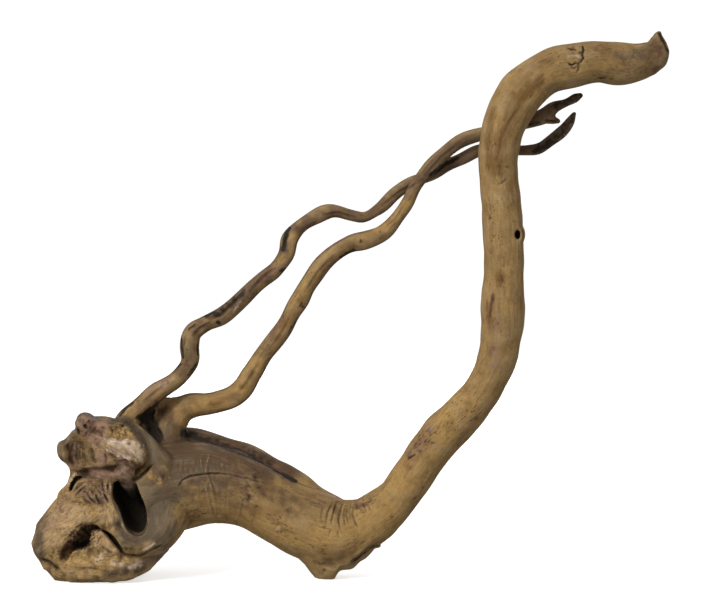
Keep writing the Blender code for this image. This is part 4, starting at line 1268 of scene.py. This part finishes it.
RED_STROKES = [
    (4, 0.6, [(-100, 102), (-76, 94.5), (-60, 87), (-46, 79)]),
    (3, 0.6, [(-211.5, 99), (-209.5, 90), (-207, 84)]),
    (2.2, 0.6, [(-144, 127), (-139, 121)]),
    (2.2, 0.5, [(-85, 134), (-82, 131.5)]),
    (3, 0.6, [(-168, 87), (-158, 85)]),
    (2.5, 0.7, [(5, 54), (12, 56)]),
    (2, 0.6, [(-232, 15), (-226, 12.5), (-219, 7)]),
    (3, 0.5, [(44, 92), (54, 106)]),
    (2.2, 0.7, [(104, 194), (105.5, 204), (107, 213)]),
    (2.5, 0.5, [(112, 222), (115, 228)]),
    (2.5, 0.5, [(-84, 70), (-76, 62), (-78, 54)]),
    (4, 0.45, [(-68, 168), (-58, 184), (-50, 198)]),
    (3, 0.6, [(228, 404), (233, 398), (234, 390)]),
    (3, 0.4, [(-130, 40), (-118, 44)]),
    (2.5, 0.7, [(-68, 225), (-63, 231)]),
    (2.5, 0.6, [(-136, 153), (-128, 158)]),
    (2.5, 0.7, [(-123, 162), (-121, 160)]),
    (2, 0.6, [(40, 294), (43, 297)]),
    (2, 0.6, [(8, 253), (11, 254)]),
]
RUST_STROKES = [
    (5.5, 0.9, [(108, 304), (112, 325), (119, 344), (127, 359), (141, 373)]),
    (4, 0.7, [(118, 352), (122, 362)]),
    (3.5, 0.9, [(107, 352), (104, 340), (103, 326), (104.6, 308)]),
    (4, 0.8, [(111, 228), (113, 221)]),
    (3.5, 0.7, [(103, 206), (105, 190)]),
    (4, 0.6, [(138, 384), (152, 390)]),
    (3.5, 0.7, [(128, 366), (136, 378)]),
    (5, 0.7, [(202, 387), (216, 383)]),
    (4, 0.5, [(176, 398), (194, 396)]),
    (4, 0.5, [(118, 286), (121, 300)]),
    (3.5, 0.5, [(104, 262), (106, 246)]),
    (8, 0.3, [(-44, 34), (-20, 22), (2, 22)]),
    (7, 0.55, [(44, 84), (62, 110)]),
    (5, 0.5, [(74, 114), (88, 130)]),
    (4, 0.5, [(98, 150), (106, 172)]),
    (8, 0.45, [(-92, 46), (-60, 50)]),
    (6, 0.5, [(-128, 54), (-116, 46)]),
    (5, 0.6, [(-104, 130), (-84, 138), (-70, 158)]),
    (4, 0.6, [(-56, 180), (-36, 212)]),
    (4, 0.5, [(-28, 226), (0, 250), (24, 258)]),
    (4, 0.5, [(-104, 193), (-88, 203)]),
    (3.5, 0.8, [(-230, 15), (-220, 9)]),
]
PALE_STROKES = [
    (2.2, 0.9, [(-178, 103.5), (-170, 101), (-163, 95), (-157, 89)]),
    (1.6, 0.8, [(-184, 104), (-172, 103), (-162, 102)]),
    (1.4, 0.6, [(-182, 97), (-174, 92)]),
    (1.2, 0.5, [(-184, 71.4), (-183, 66)]),
    (1.4, 0.8, [(-176.5, 57.5), (-173.6, 53), (-172, 47), (-170.5, 40)]),
    (3, 0.6, [(-166, 9), (-158, 11)]),
    (4, 0.4, [(-190, 14), (-184, 16)]),
    (3, 0.5, [(-179, 12), (-172, 11)]),
    (2, 0.5, [(-56, 37), (-53, 38)]),
    (1.5, 0.6, [(164, 391), (170, 393), (172, 390)]),
    (1.2, 0.5, [(-88, 200), (-82, 208)]),
    (3, 0.4, [(-142, 144), (-134, 149)]),
]
# Near black: rot, soot and dark twig ends, and painted shade in the slots behind the limb, in the gap under
# the broken lobe, in the branch pocket and in the deep hollow.
SOOT_AND_SHADE_STROKES = [
    (3.2, 1.0, [(-125, 108.6), (-117, 107)]),
    (2.0, 0.9, [(-117, 106.4), (-108, 103.2)]),
    (1.2, 0.8, [(-108, 103), (-98, 99.6), (-88, 95.8)]),
    (1.0, 0.7, [(-88, 95.8), (-76, 90.8), (-66, 86.6)]),
    (0.9, 0.8, [(-58, 81.6), (-50, 77.6)]),
    (1.6, 1.0, [(-49.5, 77.2), (-41.4, 72.9)]),
    (1.2, 0.5, [(-207.8, 69.6), (-206.6, 73.4), (-203.6, 76.6), (-200.4, 77.8)]),
    (0.9, 0.8, [(-148.5, 85), (-154, 80), (-158, 77)]),
    (1.4, 0.35, [(-194.4, 97), (-193, 93), (-192, 88)]),
    (1.0, 0.6, [(3, 13.4), (10, 19), (18, 24.6), (22, 24.8)]),
    (1.8, 0.45, [(-76, 60.5), (-75, 60.5)]),
    (2.6, 0.4, [(-72, 76), (-70, 76)]),
    (5, 0.45, [(-118, 107), (-98, 102), (-78, 95), (-60, 87)]),
    (1.6, 0.5, [(-79, 69), (-75, 70)]),
    (1.4, 0.4, [(-72, 54), (-70, 54)]),
    (1.7, 1.0, [(-50.4, 246), (-49.6, 254), (-48, 260), (-46, 262.5)]),
    (2.4, 0.7, [(-109, 196.4), (-103, 199.4), (-99, 198)]),
    (1.4, 0.8, [(-99.6, 192), (-97.6, 191.6)]),
    (3.4, 0.5, [(-100, 199), (-90, 206), (-80, 215)]),
    (1.6, 0.6, [(-8, 241), (2, 246.4)]),
    (1.6, 0.5, [(-42, 192), (-46, 184)]),
    (1.0, 0.8, [(-127, 181), (-126.4, 174), (-125.4, 166)]),
    (0.9, 0.8, [(-115, 177), (-114.6, 168)]),
    (1.2, 0.7, [(-127, 161), (-133, 156), (-140, 151)]),
    (1.4, 0.6, [(-121, 187), (-116, 191)]),
    (1.8, 0.6, [(-121, 153), (-115, 161)]),
    (1.8, 0.8, [(-52, 231.4), (-49.6, 231.6)]),
    (1.4, 0.7, [(231, 409), (235, 402), (238, 395)]),
    (1.0, 0.9, [(-171.2, 114.7), (-170.8, 114.5)]),
    (1.3, 0.9, [(-199.4, 114.6), (-198.2, 113)]),
    (3, 0.9, [(-156.5, 120), (-151, 113.4), (-146.5, 108), (-143.4, 104.4)]),
    (2.5, 0.7, [(-155, 123), (-150, 127.5), (-145, 131.5)]),
    (1.2, 0.8, [(-173, 122), (-168, 128.5), (-163, 131.5)]),
    (1.4, 0.7, [(-148, 147), (-140, 153), (-134, 157)]),
    (5, 0.6, [(-163, 60), (-159, 50)]),
    (4.5, 0.3, [(-170, 72), (-165, 66), (-162, 58)]),
    (0.7, 0.7, [(163.4, 386), (166.4, 385), (168.8, 386.6)]),
    (0.7, 0.6, [(163, 397.6), (166, 396.6), (169, 396)]),
    (0.9, 0.9, [(-204.4, 112), (-203.6, 109)]),
    (0.6, 0.5, [(51, 95), (53, 96)]),
    (0.6, 0.6, [(43, 89), (47.5, 92.5)]),
    (1.0, 0.6, [(-232, 14.4), (-225.4, 12.2), (-219, 7.4)]),
    (3.2, 0.8, [(-206, 25), (-198, 26.5)]),
    (1.2, 0.7, [(-186, 36.4), (-180, 32), (-175, 25), (-170.6, 19.6)]),
    (1.4, 0.6, [(-38, 204), (-35, 203)]),
    (1.2, 0.6, [(186, 375.4), (192, 375.6)]),
]
PALE_STROKES += again(LIMB_WRINKLES[:2], 0.9, 0.24) + again(LIMB_WRINKLES[2:4], 0.8, 0.2)
PALE_STROKES += again(STUMP_MARKS[24:25], 1.4, 0.7) + again(STUMP_MARKS[37:38], 1.2, 0.45)
PALE_STROKES += again(STUMP_MARKS[50:51], 1.4, 0.8)
SOOT_AND_SHADE_STROKES += again(STUMP_MARKS[25:27], 0.6, 0.6) + again(STUMP_MARKS[32:33], 0.6, 0.6)
SOOT_AND_SHADE_STROKES += again(STUMP_MARKS[27:29], 0.7, 0.7)
SOOT_AND_SHADE_STROKES += again(LIMB_CRACKS[:1], 0.6, 0.5) + again(LIMB_CRACKS[12:13], 0.8, 0.75)
FLECKED_STROKES = [
    (12, 1.0, [(48, 100), (58, 105)]),
    (9, 0.9, [(74, 117), (92, 126)]),
    (7, 0.9, [(106, 322), (110, 306)]),
    (4, 0.9, [(104, 282), (105, 266)]),
    (5, 0.8, [(112, 226), (114, 221)]),
    (6, 0.8, [(186, 376), (214, 378)]),
    (10, 0.8, [(-6, 52), (14, 56)]),
    (9, 0.8, [(150, 392), (190, 396)]),
    (8, 0.7, [(196, 378), (214, 384)]),
    (7, 1.0, [(-70, 78), (-77, 60)]),
    (9, 0.7, [(-60, 44), (-40, 30)]),
    (8, 0.9, [(-200, 64), (-182, 67)]),
    (8, 0.8, [(-205, 97), (-205, 85)]),
    (8, 0.7, [(-178, 113), (-168, 110)]),
    (5, 0.9, [(-90, 204), (-60, 228)]),
    (5, 0.8, [(-126, 180), (-120, 160)]),
    (6, 0.7, [(-52, 200), (-36, 212)]),
    (7, 0.8, [(-212, 36), (-206, 22)]),
    (9, 0.6, [(-222, 48), (-206, 56)]),
]
FAR_STROKES = {
    "brown": [
        (6, 0.8, [(50, 298), (74, 322), (98, 333)]),
        (5, 1.0, [(58, 301), (80, 312), (98, 320)]),
        (8, 1.0, [(126, 322), (146, 324), (168, 348)]),
        (8, 1.0, [(134, 344), (150, 352), (173, 363)]),
    ],
    "soot_and_shade": [
        (1.8, 0.9, [(60, 303), (72, 311), (80, 315.4)]),
        (4.5, 0.55, [(139, 321), (150, 327), (160, 337), (167, 347)]),
        (4.5, 0.55, [(150, 353), (160, 357), (173, 363)]),
        (2.0, 0.5, [(134, 341), (148, 343), (155, 343.4)]),
    ],
}
PALE_FACE = [
    (-186, 103.5), (-178, 104.6), (-170, 103.2), (-161, 104.6), (-155.6, 98), (-154, 91.4), (-157.4, 87.2),
    (-163.6, 88), (-170, 90.6), (-177, 94), (-184, 98.4),
]
YELLOW_CRUMBS = [
    (-181.5, 114.6), (-174, 116.2), (-165, 112.6), (-162.4, 108.6), (-166, 105.9), (-175, 107),
    (-181, 109.4),
]
ROSE_FACE = [
    (-205, 118), (-199, 123), (-190, 119.6), (-182, 118), (-182, 108), (-186, 99), (-190, 96), (-197, 104),
    (-204, 109),
]
ROSE_BOSS = [(-191, 95.6), (-184, 96.4), (-181, 91), (-184, 84.6), (-189.4, 86), (-191.8, 91)]
OLIVE_PANEL = [(-209, 104), (-198, 102), (-194.6, 96), (-193, 86), (-198, 82), (-208, 81.6), (-210.6, 88)]
SPLINTERS = [
    (-208, 66), (-203, 71.6), (-197, 74.4), (-190, 74.6), (-181, 72), (-178, 66), (-178.6, 58),
    (-186, 55.6), (-195, 56), (-202, 60),
]
CREAM_LOBE = [
    (-219, 58), (-208, 60), (-200, 55), (-188, 54), (-178, 57), (-173.4, 52), (-171.6, 42), (-176, 37),
    (-184, 41), (-194, 43), (-204, 40), (-212, 31), (-220, 22), (-231, 20), (-234, 34), (-229, 46),
]
CREAM_FLAP = [
    (-194, 34.6), (-187, 35.8), (-181.6, 31), (-177, 25), (-173, 19), (-180, 18), (-189, 23.6), (-194, 27),
]
OLIVE_BASE = [
    (-222, 12), (-214, 14), (-208, 20), (-196, 20), (-180, 18), (-162, 14), (-146, 20), (-143, 14),
    (-156, 2), (-200, 0), (-220, 2),
]
BROWN_CAVITY = [
    (-220, 15), (-214, 27), (-205, 36), (-200, 40.6), (-191, 40.4), (-186.6, 37), (-194, 33), (-195, 24),
    (-210, 20),
]
PATCHES = {
    "pale": [(2.4, 0.55, PALE_FACE)],
    "gold": [(1.2, 0.55, YELLOW_CRUMBS), (2.5, 0.3, OLIVE_BASE)],
    "rose": [(2, 0.75, ROSE_FACE), (1.4, 0.7, ROSE_BOSS), (1.5, 0.5, SPLINTERS)],
    "brown": [(2.2, 0.55, OLIVE_PANEL), (1.4, 0.5, SPLINTERS), (1.2, 0.8, BROWN_CAVITY)],
    "cream": [(3.5, 0.9, CREAM_LOBE), (1.2, 0.9, CREAM_FLAP), (3, 0.45, OLIVE_BASE)],
    "red": [(1.2, 0.3, BROWN_CAVITY)],
}
# Painted shade inside each hollow: its outline, the depths where the shade starts and where it is full, how
# far the outline grows, and its strength.
HOLLOW_SHADE_RIM = 2
HOLLOW_SHADE = [
    (DEEP_HOLLOW, (-34, -18), 1.5, 0.86),
    (ROTTEN_CAVITY, (-34, -25), 0.5, 0.2),
    (LOBE_GAP, (-36, -27), 0, 0.6),
    (WIDE_CRACK, (-36, -31), 1, 0.9),
    (BRANCH_POCKET, (-14, 0), -1, 0.6),
    (KNOT_HOLE, (-35, -33), 1.5, 1.0),
]
STROKED = {
    "grey": (9, GREY_STROKES),
    "brown": (8, BROWN_STROKES),
    "gold": (7, GOLD_STROKES),
    "cream": (5, []),
    "rose": (5, ROSE_STROKES),
    "red": (4, RED_STROKES),
    "pale": (3, PALE_STROKES),
    "soot_and_shade": (3, SOOT_AND_SHADE_STROKES),
    "flecked": (6, FLECKED_STROKES),
    "rust": (5, RUST_STROKES),
}
ZONE_REACH = 2.6
EDGE_REACH = 3
ZONE_FACING = (0.75, 0.05)
FRAY_LENGTHS = (2.2, 0.7)
FRAY_STRENGTH = 0.6
FRAY_SEEDS = 21
PATCH_FRAY = 1.6
PATCH_LENGTHS = (6, 2.5)
BEHIND_LIMB = [(Y, -2, 2)]
LEFT_BRANCHES = [(Z, 112, 128), (X, 62, 56)]
MIDDLE_BRANCHES = [(Z, 200, 220), (X, 48, 56), (X, 100, 92)]
RIGHT_BRANCHES = [(X, 92, 100), (Y, 1.5, 4), (Z, 368, 364)]
RIGHT_ABOVE = 300
SIDE_SHADE_LENGTHS = (40, 18)
SIDE_SHADE_LEAST = 0.5
SIDE_SHADE_PATCHES = (-0.6, 0.9)
SIDE_SHADE_ASIDE = (0.85, 0.3)
SIDE_SHADE_BEHIND = (-0.4, 0)
EDGE_IN_FRONT = (0.4, 0.05)
EDGE_BEHIND = (-0.7, -0.3)
SIDE_SHADE = 0.75
EDGE_SHADE = 0.4
WORN = 0.5
WORN_LENGTHS = (60, 25)
WORN_FROM = (-0.2, 1.6)
HOLLOW_SHADE_DEEPEST = 12
GROOVE_DARK = 2.2
FINE_DIP = (5, 0.35)
BROAD_DIP = (30, 1.6)


def zone(points, strokes):
    """How deep in a zone each point lies: the strongest stroke's strength x bell of distance / width."""
    share = np.zeros(len(points))
    for width, strength, line in strokes:
        near = within_reach(points, line, ZONE_REACH * width)
        away, _ = beside(points[near], line)
        share[near] = np.maximum(share[near], strength * np.exp(-((away / width) ** 2)))
    return share


def inside(points, corners):
    """Seen from the front, how far inside a closed curve each point lies in mm, and below 0 outside it.

    The size is the distance to the curve's nearest side. A point is inside if a line from it to the right
    crosses the curve an odd number of times.
    """
    curve = closed_curve(corners)
    flat = points[:, [X, Z]]
    best = np.full(len(flat), np.inf)
    odd = np.zeros(len(flat), bool)
    for start, end in zip(curve, np.roll(curve, -1, axis=0)):
        best = np.minimum(best, from_side(flat, start, end)[0])
        level = (start[1] > flat[:, 1]) != (end[1] > flat[:, 1])
        run, rise = end - start
        odd ^= level & (flat[:, 0] < start[0] + (flat[:, 1] - start[1]) / (rise or 1.0) * run)
    return np.where(odd, best, -best)


def patched(points, edge, strength, corners, wander):
    """Strength inside a closed curve, fading to 0 over its edge, which wanders in and out with noise."""
    share = np.zeros(len(points))
    near = within_reach(points, corners, EDGE_REACH * edge)
    share[near] = strength * eased(inside(points[near], corners) + wander[near], -edge, edge)
    return share


def frayed(share, points, size, seed):
    """A zone with an irregular edge: noise of that size in millimetres is added where the zone fades."""
    longest, shortest = FRAY_LENGTHS
    noise = waves(points, longest * size, shortest * size, seed)
    return np.clip(share + FRAY_STRENGTH * noise * share * (1 - np.clip(share, 0, 1)), 0, 1)


def smoothed(values, edges, times):
    """Each point's value becomes the mean of its neighbours', that many times over."""
    count = np.bincount(edges.ravel(), minlength=len(values))
    for _ in range(times):
        total = np.zeros_like(values)
        for column in range(values.shape[1]):
            given = np.concatenate([values[edges[:, 1], column], values[edges[:, 0], column]])
            total[:, column] = np.bincount(edges.T.ravel(), weights=given, minlength=len(values))
        values = total / np.maximum(count, 1)[:, None]
    return values


def sunk(body, points, normals, times):
    """How far each point lies below the smoothed surface, in mm: above 0 in hollows, where painted shade
    goes.
    """
    edges = np.empty(len(body.data.edges) * 2, np.int64)
    body.data.edges.foreach_get("vertices", edges)
    return ((smoothed(points, edges.reshape(-1, 2), times) - points) * normals).sum(axis=1)


grain = lie_of_grain(points)
shown = as_shown(points)
facing = -normals[:, Y]
front = eased(normals[:, Y], *ZONE_FACING)
wander = PATCH_FRAY * waves(points, *PATCH_LENGTHS, seed=20)
right = limited(points, RIGHT_BRANCHES) * (points[:, Z] > RIGHT_ABOVE)
thin = np.maximum(limited(points, LEFT_BRANCHES), np.maximum(limited(points, MIDDLE_BRANCHES), right))
# Painted shade on the thin branches: their sides, in patches, and their backs are darkened, and their edges
# more so.
patchy = SIDE_SHADE_LEAST + (1 - SIDE_SHADE_LEAST) * eased(waves(points, *SIDE_SHADE_LENGTHS, seed=61), *SIDE_SHADE_PATCHES)
side_shade = thin * eased(facing, *SIDE_SHADE_ASIDE) * np.maximum(patchy, eased(facing, *SIDE_SHADE_BEHIND))
edge_shade = thin * eased(facing, *EDGE_IN_FRONT) * eased(facing, *EDGE_BEHIND)
worn = eased(waves(points, *WORN_LENGTHS, seed=30), *WORN_FROM) * (1 - front)
zones = {}
for number, (name, (fray, strokes)) in enumerate(STROKED.items()):
    share = zone(shown, strokes)
    for edge, strength, corners in PATCHES.get(name, []):
        share = np.maximum(share, patched(shown, edge, strength, corners, wander))
    share = np.maximum(share, zone(shown, FAR_STROKES.get(name, [])) * limited(points, BEHIND_LIMB))
    zones[name] = frayed(share * front, points, fray, FRAY_SEEDS + number)
# The branches' painted side shade goes into the brown zone, and their painted edge shade into the near-black
# zone.
zones["brown"] = np.maximum(zones["brown"], SIDE_SHADE * side_shade)
zones["soot_and_shade"] = np.maximum(zones["soot_and_shade"], EDGE_SHADE * edge_shade)
zones["grey"] = np.maximum(zones["grey"], WORN * worn)
zones["broken"] = broken_share(points, normals)
# Painted shade: the deeper a point lies inside a hollow, the darker it is painted.
for corners, depths, grow, strength in HOLLOW_SHADE:
    deep = patched(points, HOLLOW_SHADE_RIM, strength, corners, np.full(len(points), grow))
    deep *= eased(points[:, Y], *depths)
    zones["soot_and_shade"] = np.maximum(zones["soot_and_shade"], deep * (points[:, Y] < HOLLOW_SHADE_DEEPEST))
# Grooves and drying cracks, which the material darkens as painted shade.
lines_drawn = drawn(shown, STROKES) * front / GROOVE_DARK
zones["groove"] = np.clip(lines_drawn + drying_cracks(points, grain, front), 0, 1)
for name, (times, full) in (("hollow", FINE_DIP), ("dip", BROAD_DIP)):
    zones[name] = np.clip(sunk(root, points, normals, times) / full, -1, 1)
for name, values in zones.items():
    root.data.attributes.new(name, "FLOAT", "POINT").data.foreach_set("value", values.astype(np.float32))
    print(name, "covers", round(float((values > 0.5).mean()) * 100, 1), "% of the points")
lie = root.data.attributes.new("grain", "FLOAT_VECTOR", "POINT")
lie.data.foreach_set("vector", grain.astype(np.float32).ravel())

# %% [markdown]
# ## Weathered wood
#
# The material starts from two tones of tan that alternate in streaks along the grain, with a few stains.
# The zones then tint it, fine fibres and specks break it up, painted shade darkens whatever lies low, in
# hollows, grooves and cracks, and a painted highlight lightens what stands out. A photograph wrapped round
# the limb would smear at the bends, while this noise follows the grain round all of them.

# %% Material
WOOD_ROUGHNESS = 0.75
WOOD_SHINE = 0.15
BUMP_STRENGTH = 0.6
BUMP_DISTANCE = 0.6 * MM
wood = bpy.data.materials.new("weathered_wood")
wood.use_nodes = True
tree = wood.node_tree
shader = tree.nodes["Principled BSDF"]
shader.inputs["Roughness"].default_value = WOOD_ROUGHNESS
shader.inputs["Specular IOR Level"].default_value = WOOD_SHINE


def plug(target, value):
    """Joins a socket to a socket, or sets a value on it."""
    if isinstance(value, bpy.types.NodeSocket):
        tree.links.new(value, target)
    else:
        target.default_value = value


def stored(name, output="Fac"):
    """A value that is kept at each point of the mesh."""
    reader = tree.nodes.new("ShaderNodeAttribute")
    reader.attribute_name = name
    return reader.outputs[output]


def maths(operation, first, second=0.0, third=0.0):
    """One sum: a Math node."""
    sum_node = tree.nodes.new("ShaderNodeMath")
    sum_node.operation = operation
    for socket, value in zip(sum_node.inputs, (first, second, third)):
        plug(socket, value)
    return sum_node.outputs[0]


def between(value, low, high, to_low=0.0, to_high=1.0):
    """The value carried smoothly from the range low to high into the range to_low to to_high."""
    ranger = tree.nodes.new("ShaderNodeMapRange")
    ranger.interpolation_type = "SMOOTHSTEP"
    for name, number in zip(("From Min", "From Max", "To Min", "To Max"), (low, high, to_low, to_high)):
        ranger.inputs[name].default_value = number
    plug(ranger.inputs["Value"], value)
    return ranger.outputs["Result"]


def noise(place, size, detail=3.0, rough=0.5):
    """Cloudy noise whose patches are about that size."""
    cloud = tree.nodes.new("ShaderNodeTexNoise")
    cloud.inputs["Scale"].default_value = 1 / size
    cloud.inputs["Detail"].default_value = detail
    cloud.inputs["Roughness"].default_value = rough
    plug(cloud.inputs["Vector"], place)
    return cloud.outputs["Fac"]


def stretched(place, scale, shift=(0, 0, 0)):
    """The same place, scaled along each of its three directions."""
    mapping = tree.nodes.new("ShaderNodeMapping")
    mapping.inputs["Scale"].default_value = scale
    mapping.inputs["Location"].default_value = shift
    plug(mapping.inputs["Vector"], place)
    return mapping.outputs["Vector"]


def mixed(share, first, second, blend="MIX"):
    """Two colours mixed by a share, or blended in another way."""
    mixer = tree.nodes.new("ShaderNodeMix")
    mixer.data_type = "RGBA"
    mixer.blend_type = blend
    plug(mixer.inputs["Factor"], share)
    for socket, colour in ((mixer.inputs[6], first), (mixer.inputs[7], second)):
        plug(socket, colour)
    return mixer.outputs[2]


def grey_of(value):
    """A number as a grey colour."""
    joined = tree.nodes.new("ShaderNodeCombineColor")
    for socket in joined.inputs:
        plug(socket, value)
    return joined.outputs[0]


grain_place = stored("grain", "Vector")
object_place = tree.nodes.new("ShaderNodeTexCoord").outputs["Object"]
in_mm = stretched(object_place, (1 / MM, 1 / MM, 1 / MM))

TAN = (0.380, 0.240, 0.092, 1)
OLIVE = (0.284, 0.173, 0.067, 1)
STAIN = (0.250, 0.130, 0.055, 1)
TONES = {
    "cream": (0.450, 0.292, 0.142, 1),
    "grey": (0.128, 0.091, 0.056, 1),
    "brown": (0.124, 0.073, 0.039, 1),
    "gold": (0.420, 0.255, 0.088, 1),
    "rust": (0.205, 0.112, 0.036, 1),
    "rose": (0.270, 0.158, 0.104, 1),
    "red": (0.135, 0.062, 0.036, 1),
    "pale": (0.610, 0.455, 0.330, 1),
}
# Painted highlight: a light tone for places that stand out above the smoothed surface.
PAINTED_HIGHLIGHT = (0.60, 0.45, 0.27, 1)
# Near black, for soot and rot, and for painted shade in the hollows, slots and pocket and along the
# branches' edges.
SOOT_AND_SHADE = (0.033, 0.025, 0.017, 1)
# Dark brown: dirt on broken faces, dark fibre lines and specks, and painted shade in hollows, dips, grooves
# and cracks.
DIRT_AND_SHADE = (0.050, 0.029, 0.015, 1)

mottle = noise(stretched(grain_place, (0.6, 1, 1)), 7, detail=6, rough=0.72)
streaks = noise(stretched(grain_place, (0.12, 1, 1), (5, 3, 9)), 5, detail=4, rough=0.6)
stains = noise(stretched(grain_place, (0.45, 1, 1), (17, 29, 3)), 12, detail=6, rough=0.7)
fibres = noise(stretched(grain_place, (0.1, 1, 1)), 1.4, detail=3, rough=0.6)
clouds = noise(in_mm, 30, detail=2, rough=0.5)
blots = noise(in_mm, 4, detail=6, rough=0.72)
lines = noise(stretched(grain_place, (0.07, 1, 1), (11, 5, 2)), 1.3, detail=3, rough=0.6)
grit = noise(in_mm, 1.2, detail=3, rough=0.6)
specks = noise(stretched(grain_place, (0.45, 1, 1), (31, 7, 13)), 1.5, detail=3, rough=0.6)
crowds = noise(in_mm, 16, detail=3, rough=0.6)
splits = noise(stretched(grain_place, (0.25, 1, 1), (3, 8, 2)), 1.8, detail=4, rough=0.65)

both = maths("ADD", maths("MULTIPLY", mottle, 0.7), maths("MULTIPLY", streaks, 0.3))
colour = mixed(between(both, 0.38, 0.62), OLIVE, TAN)
colour = mixed(between(clouds, 0.45, 0.7, 0.0, 0.35), colour, OLIVE)
colour = mixed(between(stains, 0.52, 0.66, 0.0, 0.6), colour, STAIN)
for name, tone in TONES.items():
    share = maths("ADD", stored(name), maths("MULTIPLY_ADD", blots, 1.1, -0.55))
    colour = mixed(between(share, 0.15, 0.85), colour, tone)
for unevenness, least, most in ((blots, 0.9, 1.09), (fibres, 0.92, 1.08), (grit, 0.92, 1.08)):
    colour = mixed(1.0, colour, grey_of(between(unevenness, 0.3, 0.7, least, most)), "MULTIPLY")
sharp = mixed(stored("broken"), (1, 1, 1, 1), grey_of(between(splits, 0.36, 0.64, 0.8, 1.18)))
colour = mixed(1.0, colour, sharp, "MULTIPLY")
fresh = maths("MAXIMUM", stored("pale"), stored("cream"))
rough = maths("MULTIPLY", stored("broken"), between(blots, 0.5, 0.38, 0, 0.35))
rough = maths("MULTIPLY", rough, between(fresh, 0, 0.8, 1, 0.4))
colour = mixed(rough, colour, DIRT_AND_SHADE)
colour = mixed(between(lines, 0.6, 0.72, 0.0, 0.22), colour, DIRT_AND_SHADE)

crowded = between(crowds, 0.5, 0.62, 0.0, 0.6)
crowded = maths("MAXIMUM", crowded, maths("MULTIPLY", stored("flecked"), 0.85))
flecks = maths("MULTIPLY", between(specks, 0.56, 0.64), crowded)
colour = mixed(flecks, colour, DIRT_AND_SHADE)
# Painted highlight: raised places are lightened a little.
raised_highlight = between(stored("hollow"), -0.2, -1.0, 0.0, 0.14)
colour = mixed(raised_highlight, colour, PAINTED_HIGHLIGHT)
# Painted shade: what lies below the smoothed surface, finely or broadly, and the grooves and cracks are
# darkened, fresh tears less.
fine_shade = between(stored("hollow"), 0.15, 1.2, 0.0, 0.7)
broad_shade = between(stored("dip"), 0.25, 1.2, 0.0, 0.5)
recess_shade = maths("MULTIPLY", maths("MAXIMUM", fine_shade, broad_shade), between(fresh, 0, 1, 1, 0.3))
recess_shade = maths("MAXIMUM", recess_shade, maths("MULTIPLY", stored("groove"), 0.85))
colour = mixed(recess_shade, colour, DIRT_AND_SHADE)
# Soot and painted shade: the hollows, slots, pocket and branch edges go near black.
black = maths("ADD", stored("soot_and_shade"), maths("MULTIPLY_ADD", blots, 0.8, -0.4))
colour = mixed(between(black, 0.15, 0.7), colour, SOOT_AND_SHADE)
plug(shader.inputs["Base Color"], colour)

height = maths("ADD", maths("MULTIPLY", fibres, 1.0), maths("MULTIPLY", grit, 0.5))
height = maths("ADD", height, maths("MULTIPLY", flecks, -0.6))
bump = tree.nodes.new("ShaderNodeBump")
bump.inputs["Strength"].default_value = BUMP_STRENGTH
bump.inputs["Distance"].default_value = BUMP_DISTANCE
plug(bump.inputs["Height"], height)
plug(shader.inputs["Normal"], bump.outputs["Normal"])
print("material nodes:", len(tree.nodes))

# %% Finish
root.data.polygons.foreach_set("use_smooth", np.ones(len(root.data.polygons), bool))
root.data.materials.append(wood)
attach(root, "root")
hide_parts("root")
